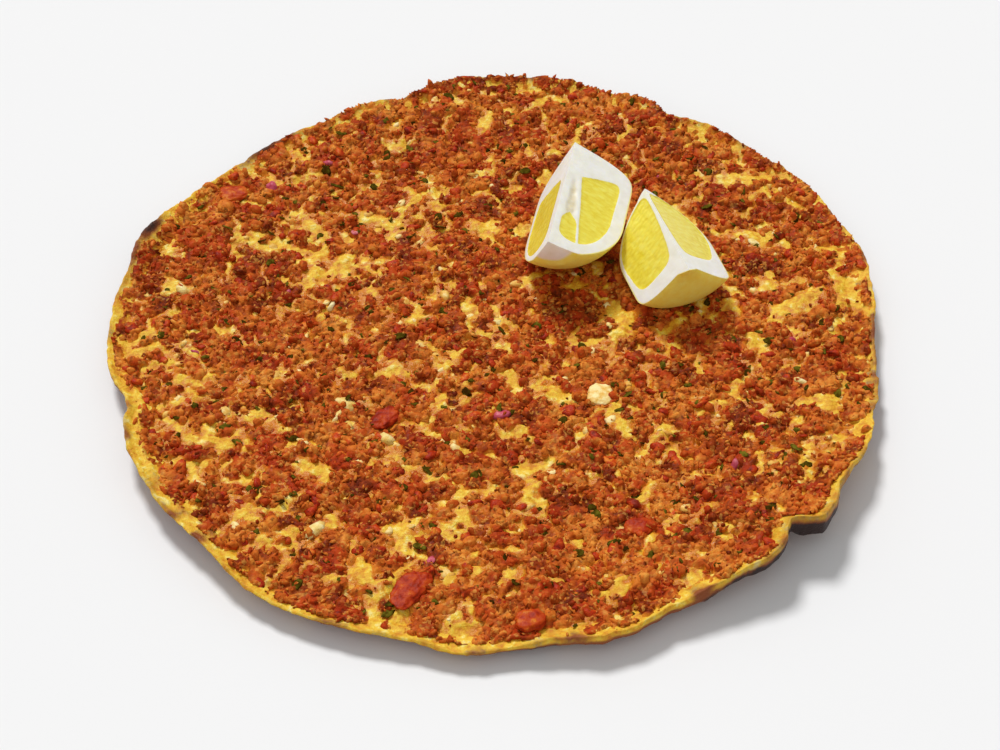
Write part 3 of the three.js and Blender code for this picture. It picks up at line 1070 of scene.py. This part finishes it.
# For each cut face: `low` and `high` are where the flesh ends along the lemon, and
# `slant` is how much farther `high` lies for each millimetre out from the core.
# `core` and `pith` are each given at the stem end and at the nipple end: how far out
# from the core the flesh starts, and how thick the pith is outside it. `membrane` is
# how far out a wall between two segments runs, and `seeds` where the inner segment
# is hollow, with its seeds gone.
FLESH = {
    ("left", "right side"): dict(low=-22, high=18, slant=0.42, core=(2.6, 3.4), pith=(6.0, 4.4),
                                 membrane=9.0, seeds=(-7, 12)),
    ("left", "left side"): dict(low=-23, high=18, slant=0.2, core=(4.6, 4.0), pith=(2.4, 2.4)),
    ("right", "left side"): dict(low=-23.5, high=16, slant=-0.2, core=(0.2, 4.5),
                                 pith=(-0.4, 13.0)),
    ("right", "right side"): dict(low=-23, high=16.5, slant=0.0, core=(1.2, 7.0), pith=(0.8, 5.0)),
}


def soft_least(*values):
    """The least of several numbers, with the corners between them rounded."""
    return -SOFTNESS * np.log(sum(np.exp(-np.clip(v, -25, 25) / SOFTNESS) for v in values))


def flesh_of(face, d, y, share, full):
    """How far inside the flesh each place of a cut face is, and how hollow it is there."""
    core, pith = (a + (b - a) * share**2 for a, b in (face["core"], face["pith"]))
    slanted = face["high"] + face["slant"] * (d - SLANT_FROM)
    inside = soft_least(d - core, full - pith - d, y - face["low"], slanted - y)
    if "membrane" not in face:
        return inside, np.zeros(len(d))
    wall = face["membrane"] - 0.14 * y + 0.5 * lattice(y, y * 0, 8, 70)
    inside = np.minimum(inside, np.abs(d - wall) - 0.45)
    first, last = face["seeds"]
    emptied = smooth(y, first - 4, first + 4) * (d < wall)
    ends = smooth(y, last + 6, last - 4)
    return inside - 3.2 * emptied, emptied * smooth(d, 2.5, 5) * smooth(wall - d, 0.5, 2.5) * ends


print("cut faces:", len(FLESH))

# %% [markdown]
# The flesh lies a little deeper than the pith and is grained by its juice sacs. The
# rind has shallow pits. Both fade out towards the sharp edges, so that the faces
# still meet.

# %% Relief of the cut faces and the rind
RIND_ROUND = 46  # the rind's noise is read over this many millimetres round
PIT_DEPTH = 0.10


def cut_relief(seed, d, y, to_rind, flesh, hollow):
    wet = smooth(flesh, 0, 0.8)
    sacs, _ = pebbles(d * 0.42 + 0.1 * y, y * 0.75 - 0.25 * d, 1.7, seed)
    relief = wet * (-0.45 + 0.16 * domes(sacs, 0.5)) + (1 - wet) * 0.12 * fractal(d, y, 3, 711)
    relief = relief - hollow * (0.6 + 0.9 * fractal(d, y, 4, 715))
    return relief * smooth(d, 0, 2) * smooth(to_rind, 0, 1.2)


def rind_relief(sweep, y):
    pits, _ = pebbles(sweep * RIND_ROUND, y, 2.2, 721)
    return PIT_DEPTH * domes(pits, 0.5) + 0.25 * fractal(sweep * RIND_ROUND, y, 9, 731)


print("the rind's pits are %.1f mm deep" % PIT_DEPTH)

# %% [markdown]
# A quarter is turned the way its CAD node is turned: rolled about its own length,
# then given its heading. Its place comes from the node's box.

# %% Laying a quarter on the bread
def laid_as(node, places, heading, roll):
    a, b = math.radians(roll), math.radians(heading - 90)
    x, y, z = places.T
    x, z = x * math.cos(a) + z * math.sin(a), -x * math.sin(a) + z * math.cos(a)
    x, y = x * math.cos(b) - y * math.sin(b), x * math.sin(b) + y * math.cos(b)
    places = np.stack([x, y, z], 1)
    low, high = (np.array(corner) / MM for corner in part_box(node))
    return places + ((low + high) / 2 - (places.min(0) + places.max(0)) / 2)


print("the left quarter is rolled by %d degrees" % LEMONS["left"]["roll"])

# %% [markdown]
# A quarter is a wedge: two flat cut faces that meet along the lemon's core, and the
# curved rind. A flat grid is rolled round that wedge. Across the grid it runs out
# along one cut face, round the rind and back along the other. Along the grid it
# runs from the trimmed stem end to the nipple. So one grid makes all of it, and
# each vertex knows which face it is on. Rows that fall on one point are merged.

# %% Lemon quarters
FACE_CELLS, RIND_CELLS, ALONG_CELLS, CAP_CELLS = 46, 60, 108, 10
COLUMNS, ROWS = 2 * FACE_CELLS + RIND_CELLS, ALONG_CELLS + CAP_CELLS
RIND_STARTS, RIND_TURNS = -135, 90  # degrees, from one cut face round to the other
SAME_POINT = 0.000001
SHARP = 50  # degrees between two faces


def rolled_grid(bm, radius, length, trimmed, shoulder):
    """Where each vertex of the grid is on the wedge, in the wedge's own measures."""
    grid = np.array([v.co[:2] for v in bm.verts])
    column = np.round((grid[:, 0] + 1) / 2 * COLUMNS)
    row = np.round((grid[:, 1] + 1) / 2 * ROWS)
    low, high = -length / 2 + trimmed, length / 2 + NIPPLE_LENGTH
    cap = np.clip(row / CAP_CELLS, 0, 1)  # shrinks the first rows over the trimmed end
    t = np.clip((row - CAP_CELLS) / ALONG_CELLS, 0, 1)
    y = low + (high - low) * (0.5 - 0.5 * np.cos(math.pi * t)) * 0.5 + (high - low) * t * 0.5
    full = np.where(row == ROWS, 0, lemon_radius(y, radius, length, shoulder))
    back = np.where(column >= FACE_CELLS + RIND_CELLS, (COLUMNS - column) / FACE_CELLS, 1)
    out = np.where(column <= FACE_CELLS, column / FACE_CELLS, back)
    return column, row, cap, y, (y - low) / (high - low), full, out


def lemon_quarter(side, node, heading, roll, radius, length, trimmed, shoulder, seed):
    bm = bmesh.new()
    bmesh.ops.create_grid(bm, x_segments=COLUMNS, y_segments=ROWS, size=1)
    column, row, cap, y, share, full, out = rolled_grid(bm, radius, length, trimmed, shoulder)
    sweep = np.clip((column - FACE_CELLS) / RIND_CELLS, 0, 1)
    angle = np.radians(RIND_STARTS + RIND_TURNS * sweep)
    d, r = out * full, out * full * cap  # how far out from the core, without and with the cap
    bulge = np.where(row < CAP_CELLS, END_BULGE * (1 - cap**2), 0)
    places = np.stack([r * np.cos(angle), y - bulge, r * np.sin(angle)], 1)

    on_left, on_right = column <= FACE_CELLS, column >= FACE_CELLS + RIND_CELLS
    flesh, hollow = np.full(len(d), -3.0), np.zeros(len(d))
    for name, on_face in (("left side", on_left), ("right side", on_right)):
        inside, dip = flesh_of(FLESH[(side, name)], d, y, share, full)
        hollow = np.where(on_face, dip, hollow)
        flesh = np.where(on_face & (out < 1) & (row > CAP_CELLS), inside, flesh)

    to_rind = (1 - out) * full
    relief = np.where(on_left | on_right, cut_relief(seed, d, y, to_rind, flesh, hollow), 0)
    relief = relief * np.where(row > CAP_CELLS, 1, 0)
    places[:, 0] += np.where(on_left, -1, 1) * math.sqrt(0.5) * relief
    places[:, 2] += math.sqrt(0.5) * relief
    rind = np.where(on_left | on_right, 0.0, 1.0)
    dimple, fading = rind_relief(sweep, y), smooth(r, 0, 6)
    places[:, 0] += rind * dimple * np.cos(angle) * fading
    places[:, 2] += rind * dimple * np.sin(angle) * fading
    rind = np.where(row < 0.75 * CAP_CELLS, 0.0, rind)  # the trimmed end shows pith

    places = laid_as(node, places, heading, roll)
    kept = {"flesh": flesh, "rind": rind, "along": y, "out": d, "hollow": hollow,
            "peel": (1 - out * cap) * full}
    layers = {key: bm.verts.layers.float.new(key) for key in kept}
    for i, v in enumerate(bm.verts):
        v.co = places[i] * MM
        for key, layer in layers.items():
            v[layer] = kept[key][i]
    bmesh.ops.remove_doubles(bm, verts=bm.verts, dist=SAME_POINT)
    bmesh.ops.recalc_face_normals(bm, faces=bm.faces)
    mesh = mesh_from(bm, "lemon_" + side)
    mesh.shade_smooth()
    mesh.set_sharp_from_angle(angle=math.radians(SHARP))
    return object_of("lemon_" + side, mesh, [node])


lemons = [lemon_quarter(side, **facts) for side, facts in LEMONS.items()]

# %% [markdown]
# ## Finishes
#
# Colours are written as a screen shows them and turned into Blender's linear ones.
# Node trees take many lines to write, so a few small helpers add a node, wire its
# inputs and hand back its output.

# %% Colours and nodes
def colour(r, g, b):
    """A colour as a screen shows it, from 0 to 255, made linear as Blender needs it."""
    linear = (((c / 255 + 0.055) / 1.055) ** 2.4 if c > 10 else c / 3294.6 for c in (r, g, b))
    return (*linear, 1.0)


def shades(*stops):
    """A ramp's stops, each given as its place and then its red, green and blue."""
    return [(at, colour(r, g, b)) for at, r, g, b in stops]


def node(tree, kind, inputs=None, **settings):
    made = tree.nodes.new(kind)
    for key, value in settings.items():
        setattr(made, key, value)
    for key, value in (inputs or {}).items():
        if isinstance(value, bpy.types.NodeSocket):
            tree.links.new(value, made.inputs[key])
        else:
            made.inputs[key].default_value = value
    return made


print("half grey is %.3f in linear light" % colour(128, 128, 128)[0])

# %% [markdown]
# Most nodes do sums, mix two colours, or turn a number into a colour.

# %% Sums, mixes and ramps
def maths(tree, operation, a, b=0.0, c=0.0):
    return node(tree, "ShaderNodeMath", {0: a, 1: b, 2: c}, operation=operation).outputs[0]


def blend(tree, factor, a, b):
    return node(tree, "ShaderNodeMix", {0: factor, 6: a, 7: b}, data_type="RGBA").outputs[2]


def ramp(tree, value, stops):
    made = node(tree, "ShaderNodeValToRGB", {0: value})
    elements = made.color_ramp.elements
    while len(elements) < len(stops):
        elements.new(0.5)
    for element, (at, shade) in zip(elements, stops):
        element.position = at
        element.color = shade
    return made.outputs[0]


def between(tree, value, low, high, a=0.0, b=1.0):
    """Goes softly from `a` to `b` while the value goes from `low` to `high`."""
    made = node(tree, "ShaderNodeMapRange", {0: value, 1: low, 2: high, 3: a, 4: b},
                interpolation_type="SMOOTHSTEP")
    return made.outputs[0]


print("helpers for sums, mixes and ramps are ready")

# %% [markdown]
# Every pattern starts from a place on the piece in its own coordinates, or from an
# attribute that the mesh carries. Both stay put when the piece moves.

# %% Places, attributes and noise
def attribute(tree, name):
    return node(tree, "ShaderNodeAttribute", attribute_name=name).outputs["Fac"]


def place_in(tree):
    return node(tree, "ShaderNodeTexCoord").outputs["Object"]


def noise(tree, size, detail=3.0, roughness=0.55):
    """Noise whose blotches are about `size` millimetres across."""
    settings = {"Vector": place_in(tree), "Scale": 0.7 / (size * MM), "Detail": detail,
                "Roughness": roughness}
    return node(tree, "ShaderNodeTexNoise", settings).outputs["Fac"]


print("noise of 1 mm has a scale of %.0f" % (0.7 / MM))

# %% [markdown]
# An effect that several finishes share is a node group with named inputs and
# outputs. A material joins groups to a shader.

# %% Groups and materials
def group(name, inputs, outputs):
    tree = bpy.data.node_groups.new(name, "ShaderNodeTree")
    for label, value in inputs.items():
        socket = tree.interface.new_socket(label, in_out="INPUT", socket_type="NodeSocketFloat")
        socket.default_value = value
    for label, kind in outputs.items():
        tree.interface.new_socket(label, in_out="OUTPUT", socket_type="NodeSocket" + kind)
    return tree, tree.nodes.new("NodeGroupInput").outputs, tree.nodes.new("NodeGroupOutput").inputs


def use(tree, made, **inputs):
    return node(tree, "ShaderNodeGroup", inputs, node_tree=made).outputs


def material(name, pieces):
    made = bpy.data.materials.new(name)
    made.use_nodes = True
    for piece in pieces:
        piece.data.materials.clear()
        piece.data.materials.append(made)
    return made.node_tree, made.node_tree.nodes["Principled BSDF"]


def bumped(tree, height, millimetres):
    made = node(tree, "ShaderNodeBump", {"Height": height, "Distance": millimetres * MM})
    return made.outputs[0]


def wire(tree, shader, **inputs):
    for key, value in inputs.items():
        socket = shader.inputs[key.replace("_", " ")]
        if isinstance(value, bpy.types.NodeSocket):
            tree.links.new(value, socket)
        else:
            socket.default_value = value


print("materials so far:", len(bpy.data.materials))

# %% [markdown]
# **Grain.** Baked mince is speckled at about a millimetre. Packed cells, each with
# its own shade, give the speckle, and their rounded tops give a fine bump. Noise
# bends the cells first, because straight borders look like a mosaic.

# %% Group: grain
grain_group, given, wanted = group("grain", {"Size": 1.2}, {"Shade": "Float", "Height": "Float"})
tree = grain_group
BENT_BY = 0.0016  # metres
where = place_in(tree)
bend = node(tree, "ShaderNodeTexNoise", {"Vector": where, "Scale": 900.0, "Detail": 2.0})
bent = node(tree, "ShaderNodeVectorMath", {0: bend.outputs["Color"], 1: (0.5, 0.5, 0.5)},
            operation="SUBTRACT").outputs[0]
bent = node(tree, "ShaderNodeVectorMath", {0: bent, 1: (BENT_BY, BENT_BY, BENT_BY), 2: where},
            operation="MULTIPLY_ADD").outputs[0]
fineness = maths(tree, "DIVIDE", 1000.0, given["Size"])
cells = node(tree, "ShaderNodeTexVoronoi", {"Vector": bent, "Scale": fineness})
shade = node(tree, "ShaderNodeSeparateColor", {0: cells.outputs["Color"]}).outputs[0]
tree.links.new(shade, wanted["Shade"])
tree.links.new(maths(tree, "SUBTRACT", 1.0, cells.outputs["Distance"]), wanted["Height"])
print("grain:", len(tree.nodes), "nodes")

# %% [markdown]
# ** Meat.** Its colour runs from dark red-brown in the gaps, where it is painted shade,
# to bright orange on the tops, where fat has coloured it. One number, made of the
# crumb's tint, its grain and noise at two sizes, picks the colour on a ramp. The bed
# and every crumb share this group.

# %% Group: baked meat
meat_group, given, wanted = group("baked_meat", {"Tint": 0.5, "Cavity": 0.0, "Bare": -1.0},
                                  {"Color": "Color", "Roughness": "Float", "Height": "Float"})
tree = meat_group
grain = use(tree, grain_group, Size=1.4)
fine = noise(tree, 1.3, 3.0, 0.6)
grainy = maths(tree, "MULTIPLY", grain["Shade"], 0.16)
value = maths(tree, "MULTIPLY_ADD", given["Tint"], 0.60, grainy)
value = maths(tree, "MULTIPLY_ADD", noise(tree, 16, 2.0), 0.40, maths(tree, "ADD", value, -0.20))
value = maths(tree, "MULTIPLY_ADD", fine, 0.50, maths(tree, "ADD", value, -0.14))
tone = ramp(tree, value, shades((0.10, 106, 33, 8), (0.30, 158, 62, 16), (0.50, 196, 92, 28),
                                (0.72, 218, 122, 42), (0.95, 236, 160, 66)))
print("meat ramp of five shades")

# %% [markdown]
# Over that come patches reddened by tomato, a golden fringe where the meat is
# thinnest, pale and dark flecks, and painted shade in the cracks.

# %% Reddened patches, fringe, flecks and cracks
patches = between(tree, noise(tree, 7, 2.0), 0.46, 0.62, 0, 0.7)
redder = blend(tree, patches, tone, colour(184, 54, 16))
thinnest = maths(tree, "MULTIPLY_ADD", fine, 0.3, given["Bare"])
redder = blend(tree, between(tree, thinnest, -0.10, 0.20, 0, 0.85), redder, colour(216, 134, 34))
flecks = use(tree, grain_group, Size=1.2)["Shade"]
flecked = blend(tree, between(tree, flecks, 0.80, 0.95, 0, 0.5), redder, colour(230, 168, 76))
flecked = blend(tree, between(tree, flecks, 0.14, 0.02, 0, 0.6), flecked, colour(92, 38, 8))
# Painted shade: the cracks are darkened towards a deep red-brown.
deep = maths(tree, "MULTIPLY", given["Cavity"], 0.8)
tree.links.new(blend(tree, deep, flecked, colour(88, 26, 4)), wanted["Color"])
tree.links.new(between(tree, noise(tree, 3, 2.0), 0.3, 0.7, 0.38, 0.65), wanted["Roughness"])
rounded = maths(tree, "MULTIPLY", grain["Height"], 0.5)
tree.links.new(maths(tree, "MULTIPLY_ADD", fine, 0.9, rounded), wanted["Height"])
print("baked meat:", len(tree.nodes), "nodes")

# %% [markdown]
# ** Dough.** Golden, paler on the blisters' tops, where the pale cream is a painted
# highlight, oily and orange beside the meat, browner where it toasted, and black where
# it scorched; on the bread's side and underside the browning and the black are partly
# painted shade. Each comes over the one before, and noise frays its border.

# %% Group: baked dough
dough_group, given, wanted = group("baked_dough", {"Bare": 0.5, "Toast": 0.0, "Char": 0.0},
                                   {"Color": "Color", "Roughness": "Float", "Height": "Float"})
tree = dough_group
patches = noise(tree, 4, 4.0, 0.6)
fine = noise(tree, 1.6, 4.0, 0.65)
value = maths(tree, "MULTIPLY_ADD", fine, 0.55, maths(tree, "MULTIPLY", patches, 0.55))
# The ramp reads the same noise as the bump below, so its pale cream top stop falls on the
# blisters' tops as a painted highlight.
gold = ramp(tree, value, shades((0.40, 206, 126, 24), (0.50, 228, 168, 34),
                                (0.60, 240, 200, 56), (0.72, 250, 236, 150)))
oily = between(tree, maths(tree, "MULTIPLY_ADD", fine, 0.5, given["Bare"]), 0.56, 0.20)
gold = blend(tree, maths(tree, "MULTIPLY", oily, 0.9), gold, colour(208, 116, 24))
# On the bread's side and underside, the browning and the black below are partly painted shade.
browned = between(tree, maths(tree, "MULTIPLY_ADD", fine, 0.8, given["Toast"]), 0.55, 1.25)
gold = blend(tree, browned, gold, colour(140, 70, 24))
freckles = between(tree, noise(tree, 0.8, 2.0, 0.6), 0.66, 0.74, 0, 0.5)
gold = blend(tree, freckles, gold, colour(160, 92, 36))
burnt = between(tree, maths(tree, "MULTIPLY_ADD", patches, 0.6, given["Char"]), 0.85, 1.15)
tree.links.new(blend(tree, burnt, gold, colour(46, 26, 22)), wanted["Color"])
tree.links.new(between(tree, oily, 0, 1, 0.55, 0.32), wanted["Roughness"])
tree.links.new(maths(tree, "MULTIPLY_ADD", fine, 0.8, patches), wanted["Height"])
print("baked dough:", len(tree.nodes), "nodes")

# %% [markdown]
# The finishes themselves only join a group to a shader, feed it the attributes that
# their meshes carry, and set what's uniform. Crumbs get no painted crack shade and are
# never bare, so they feed only their tint.

# %% Finish: meat and dough
def grouped_finish(name, pieces, made_of, fed, shine, bump):
    tree, shader = material(name, pieces)
    inputs = {label: attribute(tree, label.lower()) for label in fed}
    made = use(tree, made_of, **inputs)
    wire(tree, shader, Base_Color=made["Color"], Roughness=made["Roughness"],
         Specular_IOR_Level=shine, Normal=bumped(tree, made["Height"], bump))


crumbs = [meat_lumps, meat_crumbs, bright_crumbs, specks]
grouped_finish("meat_bed_finish", [meat_bed], meat_group, ("Tint", "Cavity", "Bare"), 0.06, 0.4)
grouped_finish("meat_crumb_finish", crumbs, meat_group, ("Tint",), 0.06, 0.4)
grouped_finish("dough_finish", [bare_dough, baked_flatbread], dough_group,
               ("Bare", "Toast", "Char"), 0.3, 1.0)
print("materials so far:", len(bpy.data.materials))

# %% [markdown]
# Vegetables are simpler: a ramp over each copy's tint, with a little noise. Each
# shade runs from its scorched to its palest colour.

# %% Finish: vegetables
def vegetable_finish(name, pieces, stops, size, roughness, bump, shine=0.12):
    tree, shader = material(name, pieces)
    tinted = maths(tree, "MULTIPLY_ADD", attribute(tree, "tint"), 0.5, -0.65)
    value = maths(tree, "MULTIPLY_ADD", noise(tree, size), 1.8, tinted)
    wire(tree, shader, Base_Color=ramp(tree, value, stops), Roughness=roughness,
         Specular_IOR_Level=shine, Normal=bumped(tree, noise(tree, size / 2), bump))


vegetable_finish(
    "tomato_piece_finish", tomato_pieces,
    shades((0.1, 134, 30, 6), (0.4, 170, 46, 10), (0.7, 192, 72, 14), (0.95, 214, 118, 34)),
    size=2.2, roughness=0.45, bump=0.4, shine=0.1)
vegetable_finish(
    "tomato_finish", [tomato_bits],
    shades((0.1, 126, 30, 8), (0.4, 178, 48, 12), (0.7, 204, 78, 20), (0.95, 226, 128, 40)),
    size=1.8, roughness=0.45, bump=0.5)
vegetable_finish(
    "onion_finish", [onion_bits, onion_piece],
    shades((0.1, 214, 148, 56), (0.45, 236, 188, 92), (0.8, 250, 230, 162)),
    size=2.0, roughness=0.4, bump=0.3)
vegetable_finish(
    "pale_onion_finish", [pale_onion],
    shades((0.1, 228, 182, 84), (0.5, 242, 216, 134), (0.9, 250, 238, 186)),
    size=2.0, roughness=0.4, bump=0.5)
vegetable_finish(
    "pink_onion_finish", [pink_onion],
    shades((0.1, 168, 52, 70), (0.5, 200, 84, 104), (0.9, 230, 150, 150)),
    size=2.0, roughness=0.3, bump=0.2)
vegetable_finish(
    "parsley_finish", [parsley],
    shades((0.1, 58, 36, 8), (0.5, 78, 66, 14), (0.9, 114, 104, 30)),
    size=1.4, roughness=0.8, bump=0.35, shine=0.0)
print("materials so far:", len(bpy.data.materials))

# %% [markdown]
# **Lemon.** The juice sacs lie along the flesh like grains of rice. So their cells
# are read from two attributes, how far along the lemon and how far out a place is,
# the second one shortened.

# %% Finish: flesh of the lemon
tree, shader = material("lemon_finish", lemons)
shortened = maths(tree, "MULTIPLY", attribute(tree, "out"), 0.4)
spread = node(tree, "ShaderNodeCombineXYZ", {0: shortened, 1: attribute(tree, "along")}).outputs[0]
sacs = node(tree, "ShaderNodeTexVoronoi", {"Vector": spread, "Scale": 0.75})
sac_shade = node(tree, "ShaderNodeSeparateColor", {0: sacs.outputs["Color"]}).outputs[0]
sac_edges = maths(tree, "MULTIPLY", sacs.outputs["Distance"], 0.6)
juicy = ramp(tree, maths(tree, "MULTIPLY_ADD", sac_shade, 0.5, sac_edges),
             shades((0.0, 250, 240, 110), (0.45, 246, 230, 82), (0.9, 238, 216, 58)))
print("lemon so far:", len(tree.nodes), "nodes")

# %% [markdown]
# The pith is nearly white and matt, and darker where the seeds were. The rind is
# yellow and waxy with fine pores, and its yellow shines a little into the pith
# beside it. Light also enters the flesh and the pith, so the lemon has some
# subsurface scattering.

# %% Finish: pith and rind of the lemon
pith = ramp(tree, noise(tree, 3, 3.0), shades((0.3, 240, 238, 224), (0.7, 250, 249, 242)))
zest = ramp(tree, noise(tree, 2, 3.0), shades((0.3, 252, 236, 96), (0.7, 255, 248, 124)))
frayed = maths(tree, "MULTIPLY_ADD", noise(tree, 1.2, 2.0), 0.5, attribute(tree, "flesh"))
is_flesh = between(tree, frayed, 0.1, 0.55)
emptied = maths(tree, "MULTIPLY", attribute(tree, "hollow"), noise(tree, 1.5, 3.0, 0.7))
pith = blend(tree, emptied, pith, colour(222, 200, 132))
tone = blend(tree, is_flesh, pith, juicy)
rind = attribute(tree, "rind")
is_zest = maths(tree, "MAXIMUM", rind, between(tree, attribute(tree, "peel"), 0.8, 0.3, 0, 0.8))
tone = blend(tree, is_zest, tone, zest)
pores = node(tree, "ShaderNodeTexVoronoi", {"Vector": place_in(tree), "Scale": 900.0})
height = maths(tree, "MULTIPLY", pores.outputs["Distance"], maths(tree, "MULTIPLY", rind, 0.35))
wire(tree, shader, Base_Color=tone, Roughness=between(tree, is_flesh, 0, 1, 0.5, 0.22),
     Normal=bumped(tree, height, 0.3), Subsurface_Weight=0.35,
     Subsurface_Radius=(1.0, 0.9, 0.5), Subsurface_Scale=0.004)
print("lemon:", len(tree.nodes), "nodes")

# %% [markdown]
# ## Floor, light and camera
#
# The floor is a plain light square, a hair below the bread so that the two don't
# fight. It stands apart from the part: no body carries it.

# %% Floor
FLOOR_HALF, FLOOR_LEVEL = 4, -0.0004  # metres

bm = bmesh.new()
bmesh.ops.create_grid(bm, x_segments=1, y_segments=1, size=FLOOR_HALF)
bmesh.ops.translate(bm, verts=bm.verts, vec=(0, 0, FLOOR_LEVEL))
floor = bpy.data.objects.new("floor", mesh_from(bm, "floor"))
bpy.context.scene.collection.objects.link(floor)
tree, shader = material("floor_finish", [floor])
wire(tree, shader, Base_Color=(0.86, 0.86, 0.86, 1), Roughness=0.9)
print("floor %.0f m across" % (2 * FLOOR_HALF))

# %% [markdown]
# A white world lights the scene from all sides. A large, soft sun from behind and a
# little to the left throws the lemons' shadow towards the camera, and a weak second
# one brightens the front rim.

# %% Light
world = bpy.data.worlds.new("studio")
world.use_nodes = True
background = world.node_tree.nodes["Background"]
background.inputs["Color"].default_value = (1, 1, 1, 1)
background.inputs["Strength"].default_value = 0.37
bpy.context.scene.world = world


def sun(name, azimuth, elevation, strength, softness):
    light = bpy.data.lights.new(name, "SUN")
    light.energy = strength
    light.angle = math.radians(softness)
    lamp = bpy.data.objects.new(name, light)
    a, e = math.radians(azimuth), math.radians(elevation)
    towards = Vector((math.cos(a) * math.cos(e), math.sin(a) * math.cos(e), math.sin(e)))
    lamp.rotation_euler = towards.to_track_quat("Z", "Y").to_euler()
    bpy.context.scene.collection.objects.link(lamp)


sun("key", azimuth=112, elevation=52, strength=2.4, softness=14)
sun("fill", azimuth=255, elevation=48, strength=0.4, softness=60)
print("lights:", len(bpy.data.lights))

# %% [markdown]
# The camera stands in front of the bread and looks down on it at about 45 degrees,
# with a longer lens, so that the round looks calm. Standard view keeps the colours
# as they were written.

# %% Camera
LOOKS_DOWN = 44.5  # degrees below level

camera_data = bpy.data.cameras.new("camera")
camera_data.lens = 79.2
camera_data.sensor_width = 36
camera = bpy.data.objects.new("camera", camera_data)
camera.location = (0.00256, -0.63713, 0.6087)
camera.rotation_euler = (math.radians(90 - LOOKS_DOWN), 0, 0)
bpy.context.scene.collection.objects.link(camera)
bpy.context.scene.camera = camera
bpy.context.scene.view_settings.view_transform = "Standard"
print("camera %.2f m from the middle" % camera.location.length)
